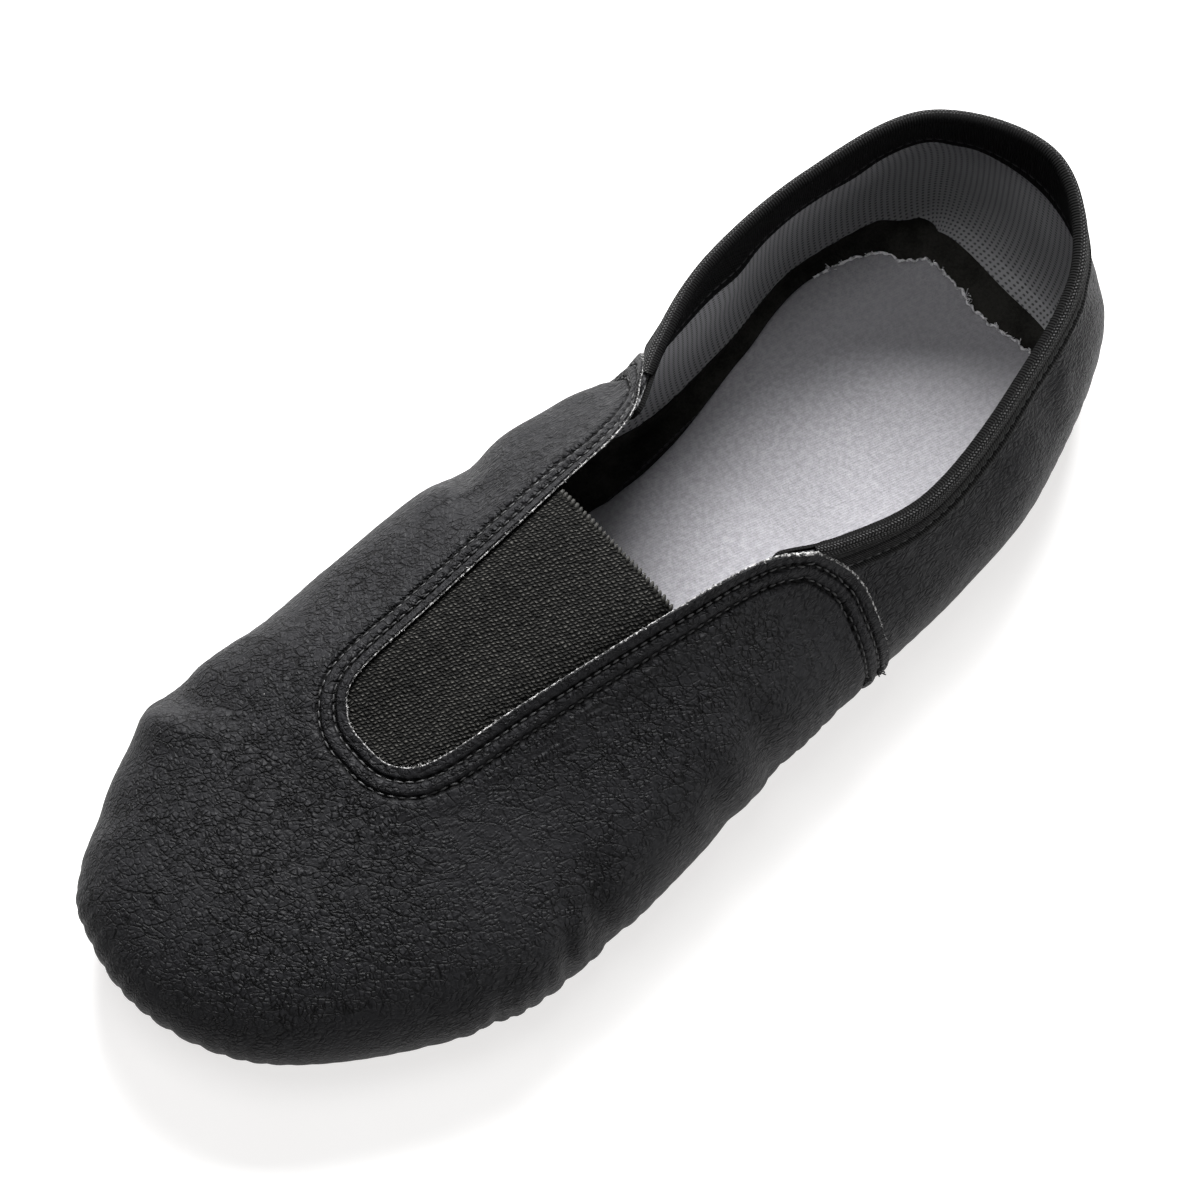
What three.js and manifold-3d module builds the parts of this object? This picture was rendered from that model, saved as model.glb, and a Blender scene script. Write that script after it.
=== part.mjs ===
// Soft leather gymnastics slipper for the left foot. One shell of leather and lining is turned
// in over a suede sole. A taped topline runs round the heel, and an elastic gusset closes the throat.
// Millimetres. +X runs from heel to toe, +Y to the outer side of the foot, +Z up.
import * as THREE from 'three';
import * as BufferGeometryUtils from 'three/addons/utils/BufferGeometryUtils.js';
import Module from 'manifold-3d';

// Overall sizes of the shoe
const LENGTH = 245; // heel to toe, over the upper
const BALL_WIDTH = 97; // across the ball, over the upper
const INSTEP_HIGH = 51.5; // throat edge beside the elastic's free end, above the floor
const HEEL_HIGH = 51.5; // edge of the quarter at the back of the heel, above the floor

// Clearance that curved pieces keep where they meet
const CLEARANCE = 0.3;

// Sole
const SOLE_THICK = 2; // suede sole
const SOLE_INSET = 4.5; // from the widest line of the upper to the sole's edge
const TOE_SPRING = 5; // rise of the sole at the toe tip
const ARCH_RISE = 1.5; // rise of the sole under the arch

// Shell
const WALL = 1.4; // leather and lining together
const VAMP_LAP = 0.9; // how far the vamp stands proud where it laps over the quarter
const MARGIN_BEND = 5; // from the widest line in to where the margin lies flat
const MARGIN_REACH = 11; // from the widest line in to the edge of the turned margin

// Insole board
const BOARD_INSET = 1; // from the turned margin's edge in to the board

// Sock lining
const SOCK_THICK = 1.1;
const SOCK_SIDE_GAP = 1.6; // from the foot of the lining to the sock's edge, along sides and toe
const SOCK_HEEL_GAP = 8.6; // and at the back of the heel

// Tape folded over the topline
const TAPE_THICK = 0.6;
const TAPE_OUT = 7; // leg down the outside of the quarter
const TAPE_IN = 10; // leg down the lining
const TAPE_TAIL = 11; // length of each end that is tucked inside the vamp's wing
const TAPE_JOIN = 8; // length over which that end is sewn to the folded tape
const TAIL_SHARE = 0.95; // height of the tucked end, share of TAPE_IN

// Elastic gusset
const ELASTIC_THICK = 1.2;
const ELASTIC_LAP = 8; // how far it reaches under the vamp
const ELASTIC_CROWN = 2.5; // rise of its middle above the throat's edge
const ELASTIC_TIP = 8; // from the throat's tip back to the end of its flat middle

// Sections of the upper, from toe to heel. Each is a pair of rays, one on either side of the foot,
// that climb from the widest line of the shoe to the edge of its opening.
// at, open: places of the widest line and of the edge along the shoe, shares of LENGTH
// outer, inner: widest line on the outer and inner side of the foot, shares of BALL_WIDTH
// edgeOuter, edgeInner: edge of the opening on either side, shares of BALL_WIDTH
// instep, heel: height of the edge, as a share of INSTEP_HIGH plus a share of HEEL_HIGH
// slope: how steeply the wall reaches the edge, in degrees from level
// full: how far the wall climbs before it leans over, share of the climb
// belly: height of the widest line above the margin, share of HEEL_HIGH
const COLUMNS = [
  'at', 'outer', 'inner', 'open', 'edgeOuter', 'edgeInner', 'instep', 'heel', 'slope', 'full', 'belly',
];
const SECTIONS = [
  [1.000, -0.030, -0.030, 0.738, -0.030, -0.030, 0.81, 0.00, 16, 0.62, 0.23], // toe tip
  [0.960, 0.245, -0.270, 0.733, 0.045, -0.098, 0.82, 0.00, 18, 0.60, 0.23], // toe corner
  [0.840, 0.460, -0.435, 0.705, 0.098, -0.150, 0.85, 0.00, 26, 0.58, 0.25], // toe side
  [0.730, 0.545, -0.440, 0.620, 0.135, -0.156, 0.91, 0.00, 36, 0.56, 0.27], // ball
  [0.540, 0.515, -0.425, 0.490, 0.198, -0.162, 1.00, 0.00, 44, 0.56, 0.27], // end of the throat
  [0.430, 0.490, -0.380, 0.410, 0.238, -0.180, 0.99, 0.00, 58, 0.52, 0.29], // wing of the vamp
  [0.355, 0.475, -0.320, 0.345, 0.305, -0.272, 0.50, 0.40, 72, 0.50, 0.31], // edge of the wing
  [0.255, 0.460, -0.335, 0.262, 0.347, -0.350, 0.05, 0.81, 84, 0.50, 0.33], // waist
  [0.150, 0.410, -0.370, 0.150, 0.293, -0.353, 0.00, 0.89, 90, 0.50, 0.34], // side of the heel
  [0.020, 0.235, -0.270, 0.042, 0.185, -0.275, 0.00, 0.96, 82, 0.50, 0.34], // corner of the heel
  [0.002, -0.010, -0.010, -0.007, -0.030, -0.030, 0.00, 1.00, 90, 0.50, 0.34], // back of the heel
];
const THROAT_ROW = 4; // section at the elastic's free end
const WING_ROW = 6; // section along the rear edge of the vamp's wing
const HEEL_ROW = SECTIONS.length - 1;
const WING_ROUND = 0.35; // how far the wing's top corner is rounded off, in sections
const WING_ROUND_FROM = 0.5; // climb at which that rounding starts
const WING_BLEND = 1.5; // sections either side over which that rounding fades
const LAP_FADE = 0.6; // sections in front of the wing's edge over which the lap thins out

const SOCK_TURN = [2.5, 0.5]; // sections from the heel over which the sock draws in

// Where the sole is flat and where it rises, shares of LENGTH
const ARCH_MIDDLE = 0.46;
const ARCH_HALF = 0.13;
const SPRING_START = 0.80;

// Shape of the curves
const SIDE_PULL = 0.4; // length of the handle at the wall's edge, share of the wall's height and run
const ELASTIC_EASE = 0.2; // how soon the elastic leaves the vamp's slope, share of its half width
const ELASTIC_DROOP = 0.6; // how much of its crown is gone at the throat's tip

// How the surface is sampled
const COLUMNS_PER_SECTION = 4;
const TAPE_COLUMNS = 40;
const TAIL_COLUMNS = 6;
const CLIMB = [-1, -0.8, -0.6, -0.45, -0.3, -0.15, 0, 0.15, 0.3, 0.45, 0.6, 0.75, 0.88, 1];
const MARGIN_FLAT = -0.6; // climb value at which the turned margin lies flat
const SOLE_COLUMNS = 36;
const SOLE_ROWS = 4;
const WELD = 0.0001; // points closer than this are one
const NUDGE = 0.001; // step for slopes taken by difference

// One ray of a section, in millimetres
function ray(section, side, edge) {
  return {
    x: section.at * LENGTH,
    y: section[side] * BALL_WIDTH,
    edgeX: section.open * LENGTH,
    edgeY: section[edge] * BALL_WIDTH,
    edgeZ: section.instep * INSTEP_HIGH + section.heel * HEEL_HIGH,
    slope: THREE.MathUtils.degToRad(section.slope),
    full: section.full,
    belly: section.belly * HEEL_HIGH,
  };
}

// Rays all round the shoe: the outer side from toe to heel, then the inner side back
const sections = SECTIONS.map((row) => Object.fromEntries(COLUMNS.map((name, i) => [name, row[i]])));
const rays = [
  ...sections.map((section) => ray(section, 'outer', 'edgeOuter')),
  ...sections.slice(1, -1).reverse().map((section) => ray(section, 'inner', 'edgeInner')),
];
const ROUND = rays.length;

// Smooth value between rays at place a, counted in sections round the shoe from the toe tip
function rayAt(a) {
  const place = THREE.MathUtils.euclideanModulo(a, ROUND);
  const first = Math.floor(place);
  const u = place - first;
  const near = [-1, 0, 1, 2].map((step) => rays[(first + step + ROUND) % ROUND]);
  const value = (name) => {
    const [p0, p1, p2, p3] = near.map((r) => r[name]);
    const bend = (2 * p0 - 5 * p1 + 4 * p2 - p3) * u * u;
    const twist = (3 * p1 - p0 - 3 * p2 + p3) * u * u * u;
    return 0.5 * (2 * p1 + (p2 - p0) * u + bend + twist);
  };
  return Object.fromEntries(Object.keys(rays[0]).map((name) => [name, value(name)]));
}

// Direction from the widest line straight in towards the middle of the shoe
function inwardAt(a) {
  const before = rayAt(a - NUDGE);
  const after = rayAt(a + NUDGE);
  return new THREE.Vector2(before.y - after.y, after.x - before.x).normalize();
}

// Underside of the sole above the floor: flat at heel and ball, arched between, sprung at the toe
function soleRise(x) {
  const share = x / LENGTH;
  const spring = THREE.MathUtils.clamp((share - SPRING_START) / (1 - SPRING_START), 0, 2);
  const arch = Math.max(1 - ((share - ARCH_MIDDLE) / ARCH_HALF) ** 2, 0);
  return TOE_SPRING * spring ** 2 + ARCH_RISE * arch;
}

// Level of the margin's underside, on top of the sole
function marginLevel(x) {
  return soleRise(x) + SOLE_THICK + CLEARANCE;
}

// Outer face of the shell. climb runs from -1 at the margin's edge under the foot,
// by 0 on the widest line, to 1 at the edge of the opening.
function shellPoint(a, climb) {
  const r = rayAt(a);
  const inward = inwardAt(a);
  if (climb < 0) {
    const bend = THREE.MathUtils.clamp(climb / MARGIN_FLAT, 0, 1) * Math.PI / 2;
    const flat = Math.max((MARGIN_FLAT - climb) / (1 + MARGIN_FLAT), 0);
    const reach = MARGIN_BEND * (1 - Math.cos(bend)) + (MARGIN_REACH - MARGIN_BEND) * flat;
    const x = r.x + inward.x * reach;
    const y = r.y + inward.y * reach;
    return new THREE.Vector3(x, y, marginLevel(x) + r.belly * (1 - Math.sin(bend)));
  }
  const foot = new THREE.Vector3(r.x, r.y, marginLevel(r.x) + r.belly);
  const edge = new THREE.Vector3(r.edgeX, r.edgeY, r.edgeZ);
  const rise = edge.z - foot.z;
  const pull = SIDE_PULL * foot.distanceTo(edge);
  const level = inward.clone().multiplyScalar(Math.cos(r.slope));
  const lean = new THREE.Vector3(level.x, level.y, Math.sin(r.slope));
  const side = new THREE.CubicBezierCurve3(
    foot,
    foot.clone().setZ(foot.z + r.full * rise),
    edge.clone().addScaledVector(lean, -pull),
    edge,
  );
  return side.getPoint(climb);
}

// Unit directions on the shell at a place: out through the wall, and up it
function shellFrame(a, climb) {
  const along = shellPoint(a + NUDGE, climb).sub(shellPoint(a - NUDGE, climb));
  const up = shellPoint(a, Math.min(climb + NUDGE, 1)).sub(shellPoint(a, Math.max(climb - NUDGE, -1)));
  const out = along.cross(up).normalize();
  return { out, up: up.normalize() };
}

// Point at a depth below the outer face
function wallPoint(a, climb, depth) {
  return shellPoint(a, climb).addScaledVector(shellFrame(a, climb).out, -depth);
}

// Climb value that lies a length down the wall from the edge of the opening
function climbBelow(a, length) {
  const steps = 200;
  let gone = 0;
  let last = shellPoint(a, 1);
  for (let i = 1; i <= steps; i += 1) {
    const next = shellPoint(a, 1 - i / steps);
    const step = next.distanceTo(last);
    if (gone + step > length) return 1 - (i - 1 + (length - gone) / step) / steps;
    gone += step;
    last = next;
  }
  return 0;
}

// The wing's top corner is rounded: near it, columns lean towards the toe as they climb
function wingLean(a, climb) {
  const away = Math.min(Math.abs(a - WING_ROW), Math.abs(a - (ROUND - WING_ROW)));
  const near = 1 - THREE.MathUtils.smoothstep(away, 0, WING_BLEND);
  const rise = Math.max((climb - WING_ROUND_FROM) / (1 - WING_ROUND_FROM), 0) ** 3;
  const towardsToe = a < ROUND / 2 ? -1 : 1;
  return a + towardsToe * WING_ROUND * near * rise;
}

// How far the vamp stands proud in front of the wing's edge. It is skived thin under the foot.
function lapAt(a, climb) {
  const ahead = WING_ROW - Math.min(a, ROUND - a);
  const above = THREE.MathUtils.smoothstep(climb, MARGIN_FLAT, 0);
  return VAMP_LAP * above * (1 - THREE.MathUtils.smoothstep(ahead, 0, LAP_FADE));
}

// Closed solid between two faces. Each column is a face path and a back path of as many points.
// around: the last column joins the first. zipped: the last points of mirrored columns coincide.
function layer(columns, { around = false, zipped = false } = {}) {
  const rows = columns[0].face.length;
  const points = columns.flatMap(({ face, back }) => [...face, ...back]);
  const faceAt = (i, j) => (i % columns.length) * 2 * rows + j;
  const backAt = (i, j) => faceAt(i, j) + rows;
  const index = [];
  const quad = (a, b, c, d) => index.push(a, b, c, a, c, d);
  const spans = around ? columns.length : columns.length - 1;
  for (let i = 0; i < spans; i += 1) {
    for (let j = 0; j < rows - 1; j += 1) {
      quad(faceAt(i, j), faceAt(i + 1, j), faceAt(i + 1, j + 1), faceAt(i, j + 1));
      quad(backAt(i, j), backAt(i, j + 1), backAt(i + 1, j + 1), backAt(i + 1, j));
    }
    quad(faceAt(i, 0), backAt(i, 0), backAt(i + 1, 0), faceAt(i + 1, 0));
    if (!zipped) {
      quad(faceAt(i, rows - 1), faceAt(i + 1, rows - 1), backAt(i + 1, rows - 1), backAt(i, rows - 1));
    }
  }
  if (!around) {
    const end = columns.length - 1;
    for (let j = 0; j < rows - 1; j += 1) {
      quad(faceAt(0, j), faceAt(0, j + 1), backAt(0, j + 1), backAt(0, j));
      quad(faceAt(end, j), backAt(end, j), backAt(end, j + 1), faceAt(end, j + 1));
    }
  }
  const geometry = new THREE.BufferGeometry();
  geometry.setAttribute('position', new THREE.Float32BufferAttribute(points.flatMap((p) => p.toArray()), 3));
  geometry.setIndex(index);
  return BufferGeometryUtils.mergeVertices(geometry, WELD);
}

// Evenly spaced values from one end to the other, both included
function span(from, to, count) {
  return Array.from({ length: count + 1 }, (_, i) => from + (to - from) * i / count);
}

// Upper: vamp and quarter as one shell, open at the topline and throat and under the foot
function upper() {
  const places = span(0, ROUND, ROUND * COLUMNS_PER_SECTION).slice(0, -1);
  const columns = places.flatMap((a) => {
    const column = (lapped) => ({
      face: CLIMB.map((climb) => wallPoint(wingLean(a, climb), climb, lapped ? -lapAt(a, climb) : 0)),
      back: CLIMB.map((climb) => wallPoint(wingLean(a, climb), climb, WALL)),
    });
    if (a === WING_ROW) return [column(true), column(false)];
    if (a === ROUND - WING_ROW) return [column(false), column(true)];
    return [column(a < WING_ROW || a > ROUND - WING_ROW)];
  });
  return layer(columns, { around: true });
}

// Flat layer that follows the sole, its edge set in from the widest line, between two levels
function bed(insetAt, level, thick) {
  const half = HEEL_ROW / 2;
  const places = span(0, Math.PI, SOLE_COLUMNS + 2).slice(1, -1).map((turn) => half * (1 - Math.cos(turn)));
  const rimPoint = (a, side) => {
    const r = rayAt(side * a);
    return new THREE.Vector2(r.x, r.y).addScaledVector(inwardAt(side * a), insetAt(a));
  };
  const columns = places.map((a) => {
    const across = span(0, 1, SOLE_ROWS).map((u) => rimPoint(a, 1).lerp(rimPoint(a, -1), u));
    return {
      face: across.map((p) => new THREE.Vector3(p.x, p.y, soleRise(p.x) + level + thick)),
      back: across.map((p) => new THREE.Vector3(p.x, p.y, soleRise(p.x) + level)),
    };
  });
  return layer(columns);
}

// Outsole: one piece of suede, flat at heel and ball
function outsole() {
  return bed(() => SOLE_INSET, 0, SOLE_THICK);
}

// Insole: board that fills the well between the turned margins, as thick as they are
function insole() {
  return bed(() => MARGIN_REACH + BOARD_INSET, SOLE_THICK + CLEARANCE, WALL);
}

// Sock lining: fleece sheet over the insole and the margins, cut short of the heel
function sockLining() {
  const [turnStart, turnEnd] = SOCK_TURN.map((sections) => HEEL_ROW - sections);
  const insetAt = (a) => {
    const backness = THREE.MathUtils.smoothstep(a, turnStart, turnEnd);
    return MARGIN_BEND + WALL + THREE.MathUtils.lerp(SOCK_SIDE_GAP, SOCK_HEEL_GAP, backness);
  };
  return bed(insetAt, SOLE_THICK + CLEARANCE + WALL + CLEARANCE, SOCK_THICK);
}

// Length of one section along the edge of the opening, in front of the wing's edge
function sectionLength() {
  return shellPoint(WING_ROW, 1).distanceTo(shellPoint(WING_ROW - 1, 1));
}

// Collar binding: tape folded over the quarter's edge, its ends tucked inside the wings
function collarBinding(wasm) {
  const start = WING_ROW + 2 * CLEARANCE / sectionLength();
  const outLeg = [1, 0.5, 0].map((share) => share * TAPE_OUT);
  const inLeg = [0, 0.33, 0.67, 1].map((share) => share * TAPE_IN);
  const fold = span(0, Math.PI, 6).slice(1, -1);
  const path = (a, offset) => {
    const leg = (length, depth) => {
      const climb = climbBelow(a, length);
      return wallPoint(wingLean(a, climb), climb, depth);
    };
    const top = wingLean(a, 1);
    const { out, up } = shellFrame(top, 1);
    const radius = WALL / 2 + offset;
    const arc = fold.map((turn) => wallPoint(top, 1, WALL / 2)
      .addScaledVector(out, Math.cos(turn) * radius)
      .addScaledVector(up, Math.sin(turn) * radius));
    return [
      ...outLeg.map((length) => leg(length, -offset)),
      ...arc,
      ...inLeg.map((length) => leg(length, WALL + offset)),
    ];
  };
  const folded = layer(span(start, ROUND - start, TAPE_COLUMNS).map((a) => ({
    face: path(a, CLEARANCE + TAPE_THICK),
    back: path(a, CLEARANCE),
  })));
  return union(wasm, [folded, tapeTail(1), tapeTail(-1)]);
}

// End of the tape, one layer against the lining inside the wing
function tapeTail(side) {
  const joined = WING_ROW + TAPE_JOIN / sectionLength();
  const free = WING_ROW - WING_ROUND - TAPE_TAIL / sectionLength();
  const ends = side > 0 ? [free, joined] : [ROUND - joined, ROUND - free];
  const lengths = [1, 0.5, 0].map((share) => share * TAIL_SHARE * TAPE_IN);
  const columns = span(...ends, TAIL_COLUMNS).map((a) => {
    const climbs = lengths.map((length) => climbBelow(a, length));
    return {
      face: climbs.map((climb) => wallPoint(a, climb, WALL + CLEARANCE)),
      back: climbs.map((climb) => wallPoint(a, climb, WALL + CLEARANCE + TAPE_THICK)),
    };
  });
  return layer(columns);
}

// Elastic gusset: webbing sewn under the throat's edge, its free end straight across the instep
function elasticGusset() {
  const depth = WALL + CLEARANCE;
  const freeX = rayAt(THROAT_ROW).edgeX;
  const tipX = rayAt(0).edgeX;
  const places = span(-THROAT_ROW, THROAT_ROW, 2 * THROAT_ROW * COLUMNS_PER_SECTION);
  const columns = places.map((a) => {
    const forward = (rayAt(a).edgeX - freeX) / (tipX - freeX);
    const edges = [Math.abs(a), -Math.abs(a)].map((side) => wallPoint(side, 1, depth));
    const spine = edges[0].clone().lerp(edges[1], 0.5);
    spine.x = THREE.MathUtils.lerp(freeX, tipX - ELASTIC_TIP, forward);
    spine.z += ELASTIC_CROWN * (1 - ELASTIC_DROOP * forward ** 2);
    const edge = wallPoint(a, 1, depth);
    const { up } = shellFrame(a, 1);
    const reach = edge.distanceTo(spine);
    const across = new THREE.CubicBezierCurve3(
      edge,
      edge.clone().addScaledVector(up, ELASTIC_EASE * reach),
      spine.clone().lerp(new THREE.Vector3(edge.x, edge.y, spine.z), 0.5),
      spine,
    );
    const under = span(climbBelow(a, ELASTIC_LAP), 1, 2);
    const over = span(0, 1, 5).slice(1);
    const down = new THREE.Vector3(0, 0, -ELASTIC_THICK);
    return {
      face: [...under.map((climb) => wallPoint(a, climb, depth)), ...over.map((u) => across.getPoint(u))],
      back: [
        ...under.map((climb) => wallPoint(a, climb, depth + ELASTIC_THICK)),
        ...over.map((u) => across.getPoint(u).add(down)),
      ],
    };
  });
  return layer(columns, { zipped: true });
}

// Joined solid of overlapping closed geometries
function union(wasm, geometries) {
  const solids = geometries.map((geometry) => new wasm.Manifold(new wasm.Mesh({
    numProp: 3,
    vertProperties: new Float32Array(geometry.attributes.position.array),
    triVerts: new Uint32Array(geometry.index.array),
  })));
  const mesh = solids.reduce((sum, solid) => sum.add(solid)).getMesh();
  const joined = new THREE.BufferGeometry();
  joined.setAttribute('position', new THREE.BufferAttribute(mesh.vertProperties, 3));
  joined.setIndex(new THREE.BufferAttribute(mesh.triVerts, 1));
  return joined;
}

// Materials
const leather = new THREE.MeshStandardMaterial({ color: '#1b1b1e', roughness: 0.55 });
const suede = new THREE.MeshStandardMaterial({ color: '#2a2725', roughness: 0.95 });
const board = new THREE.MeshStandardMaterial({ color: '#7d6d5a', roughness: 0.9 });
const fleece = new THREE.MeshStandardMaterial({ color: '#b3b2b8', roughness: 1 });
const tape = new THREE.MeshStandardMaterial({ color: '#131313', roughness: 0.8 });
const webbing = new THREE.MeshStandardMaterial({ color: '#171716', roughness: 0.85 });

const wasm = await Module();
wasm.setup();
const slipper = new THREE.Group();
const pieces = [
  ['outsole', outsole(), suede],
  ['upper', upper(), leather],
  ['insole', insole(), board],
  ['sock_lining', sockLining(), fleece],
  ['collar_binding', collarBinding(wasm), tape],
  ['elastic_gusset', elasticGusset(), webbing],
];
for (const [name, geometry, material] of pieces) {
  const mesh = new THREE.Mesh(geometry, material);
  mesh.name = name;
  slipper.add(mesh);
}

// The origin is at the middle of the shoe's length and width, on the floor
const box = new THREE.Box3().setFromObject(slipper);
const middle = box.getCenter(new THREE.Vector3());
slipper.position.set(-middle.x, -middle.y, -box.min.z);

export default slipper;
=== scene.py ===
import math

import bmesh
import bpy
import numpy as np
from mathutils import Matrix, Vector
from mathutils.bvhtree import BVHTree
from mathutils.kdtree import KDTree


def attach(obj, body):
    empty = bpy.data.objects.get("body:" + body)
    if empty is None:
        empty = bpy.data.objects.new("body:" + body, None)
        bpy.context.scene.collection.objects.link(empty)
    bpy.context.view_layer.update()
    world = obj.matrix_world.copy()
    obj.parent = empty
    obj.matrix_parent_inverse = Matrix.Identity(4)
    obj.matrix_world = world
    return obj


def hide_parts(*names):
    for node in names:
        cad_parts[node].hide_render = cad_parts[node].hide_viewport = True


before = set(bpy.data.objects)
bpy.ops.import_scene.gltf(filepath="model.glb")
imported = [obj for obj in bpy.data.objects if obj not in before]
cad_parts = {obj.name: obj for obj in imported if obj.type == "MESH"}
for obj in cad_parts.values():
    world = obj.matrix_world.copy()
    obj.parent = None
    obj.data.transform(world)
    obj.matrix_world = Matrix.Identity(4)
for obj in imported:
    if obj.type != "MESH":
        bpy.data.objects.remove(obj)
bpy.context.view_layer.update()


# Camera
# The slipper is seen from high above the outer side of its toe, through a long lens.
AIM = Vector((0.00055, -0.00533, 0.020))
CAMERA_AWAY = 0.95
CAMERA_TURN = math.radians(138.45)
CAMERA_TILT = math.radians(70.22)
CAMERA_LENS = 142.3


def put(name, data):
    """Object in the scene for a camera, a lamp or a mesh."""
    obj = bpy.data.objects.new(name, data)
    bpy.context.scene.collection.objects.link(obj)
    return obj


camera = put("camera", bpy.data.cameras.new("camera"))
towards_camera = Vector((
    math.sin(CAMERA_TURN) * math.cos(CAMERA_TILT),
    -math.cos(CAMERA_TURN) * math.cos(CAMERA_TILT),
    math.sin(CAMERA_TILT),
))
camera.location = AIM + CAMERA_AWAY * towards_camera
camera.rotation_euler = towards_camera.to_track_quat("Z", "Y").to_euler()
camera.data.sensor_width = 36
camera.data.lens = CAMERA_LENS
bpy.context.scene.camera = camera


# Light
# A wide soft lamp stands behind the heel and the inner side of the foot. A weak one overhead and
# a low one beside the outer side lift the dark leather, in a dim pale surround.
def lamp(name, place, wide, power):
    """Square soft lamp at a place in metres, aimed at the slipper."""
    light = bpy.data.lights.new(name, "AREA")
    light.size = wide
    light.energy = power
    obj = put(name, light)
    obj.location = place
    obj.rotation_euler = (Vector(place) - AIM).to_track_quat("Z", "Y").to_euler()


lamp("key lamp", (-0.80, -0.82, 0.95), 0.80, 88.0)
lamp("top lamp", (0.10, -0.25, 1.60), 0.70, 8.0)
lamp("side lamp", (-0.45, 1.10, 0.42), 0.70, 6.0)

surround = bpy.data.worlds.new("pale surround")
surround.use_nodes = True
glow = surround.node_tree.nodes["Background"].inputs
glow["Color"].default_value = (0.96, 0.98, 1.0, 1)
glow["Strength"].default_value = 0.11
bpy.context.scene.world = surround
bpy.context.scene.view_settings.view_transform = "Standard"


# Floor
# A sheet of smooth white paper on a softly lit table, with the faint unevenness of its pulp.
PAPER_HALF = 2.0
PAPER_BELOW = 0.0002


def add_node(tree, kind, settings=None, sockets=None, output=0):
    """Adds a node, sets it up, fills or links its sockets, and returns one output."""
    made = tree.nodes.new(kind)
    for key, value in (settings or {}).items():
        setattr(made, key, value)
    for key, value in (sockets or {}).items():
        if isinstance(value, Wire):
            tree.links.new(value.socket, made.inputs[key])
        elif isinstance(value, tuple) and len(made.inputs[key].default_value) == 4:
            made.inputs[key].default_value = (*value, 1)
        else:
            made.inputs[key].default_value = value
    return Wire(tree, made.outputs[output]) if made.outputs else None


def arithmetic(operation):
    """Method of a wire that reckons with it and with the other values given."""
    def reckon(wire, *others):
        values = dict(enumerate((wire, *others)))
        return add_node(wire.tree, "ShaderNodeMath", {"operation": operation}, values)
    return reckon


class Wire:
    """Output socket of a node, with the arithmetic that a finish needs."""

    def __init__(self, tree, socket):
        self.tree = tree
        self.socket = socket

    def __rsub__(self, other):
        return add_node(self.tree, "ShaderNodeMath", {"operation": "SUBTRACT"}, {0: other, 1: self})

    __add__ = arithmetic("ADD")
    __sub__ = arithmetic("SUBTRACT")
    __mul__ = arithmetic("MULTIPLY")
    __truediv__ = arithmetic("DIVIDE")
    __pow__ = arithmetic("POWER")
    wave = arithmetic("SINE")
    size = arithmetic("ABSOLUTE")
    whole = arithmetic("FLOOR")
    rest = arithmetic("FRACT")


class Finish:
    """Node material of one surface. here: the object's own coordinates, in metres."""

    def __init__(self, name):
        self.material = bpy.data.materials.new(name)
        self.material.use_nodes = True
        self.tree = self.material.node_tree
        self.tree.nodes.clear()
        self.here = self.node("ShaderNodeTexCoord", output="Object")

    def node(self, kind, settings=None, sockets=None, output=0):
        return add_node(self.tree, kind, settings, sockets, output)

    def noise(self, scale, detail=2.0, rough=0.5):
        sockets = {"Vector": self.here, "Scale": scale, "Detail": detail, "Roughness": rough}
        return self.node("ShaderNodeTexNoise", {}, sockets)

    def step(self, value, start, end, low=0.0, high=1.0):
        """Smooth step of a value from start to end."""
        sockets = {"Value": value, "From Min": start, "From Max": end, "To Min": low, "To Max": high}
        return self.node("ShaderNodeMapRange", {"interpolation_type": "SMOOTHSTEP"}, sockets)

    def mix(self, share, first, second):
        """Mix of two colours."""
        return self.node("ShaderNodeMix", {"data_type": "RGBA"}, {0: share, 6: first, 7: second}, output=2)

    def relief(self, height, deep, strength):
        """Bump of a height from 0 to 1 that stands for a depth in metres."""
        return self.node("ShaderNodeBump", {}, {"Height": height, "Distance": deep, "Strength": strength})

    def axis(self, where, name):
        """One coordinate of a place or a direction."""
        return self.node("ShaderNodeSeparateXYZ", {}, {0: where}, name)

    def chart(self):
        """Run along the piece and distance across it, in metres, from its chart."""
        chart = self.node("ShaderNodeUVMap", {"uv_map": "chart"})
        return self.axis(chart, "X"), self.axis(chart, "Y")

    def surface(self, **sockets):
        """Material with the sockets of its surface filled."""
        named = {key.replace("_", " "): value for key, value in sockets.items()}
        shader = self.node("ShaderNodeBsdfPrincipled", {}, named)
        self.node("ShaderNodeOutputMaterial", {}, {"Surface": shader})
        return self.material


def paper_finish():
    paper = Finish("white paper")
    pulp = paper.noise(40.0, 3.0)
    return paper.surface(
        Base_Color=paper.mix(pulp, (0.40, 0.40, 0.40), (0.44, 0.44, 0.44)),
        Roughness=0.9,
        Emission_Color=(1.0, 0.985, 0.975),
        Emission_Strength=0.70,
    )


paper_mesh = bpy.data.meshes.new("paper")
corners = ((-1, -1), (1, -1), (1, 1), (-1, 1))
corners = [(x * PAPER_HALF, y * PAPER_HALF, -PAPER_BELOW) for x, y in corners]
paper_mesh.from_pydata(corners, [], [(0, 1, 2, 3)])
floor = put("paper", paper_mesh)
floor.data.materials.append(paper_finish())


# Outsole
# One piece of brushed suede about 2 mm thick, cut to the outline of the last. Its edge is
# bevelled by the knife, and it is sewn to the turned margin of the upper.
LENGTH = 0.245
BALL_WIDTH = 0.097
INSTEP_HIGH = 0.0515
HEEL_HIGH = 0.0515
HEEL_TO_MIDDLE = np.array([0.12119, 0.00464, 0.0])
SOLE_THICK = 0.002
SOLE_INSET = 0.0045
STRAIGHT_IN = 0.008
CLEARANCE = 0.0003
TOE_SPRING = 0.005
ARCH_RISE = 0.0015
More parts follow.
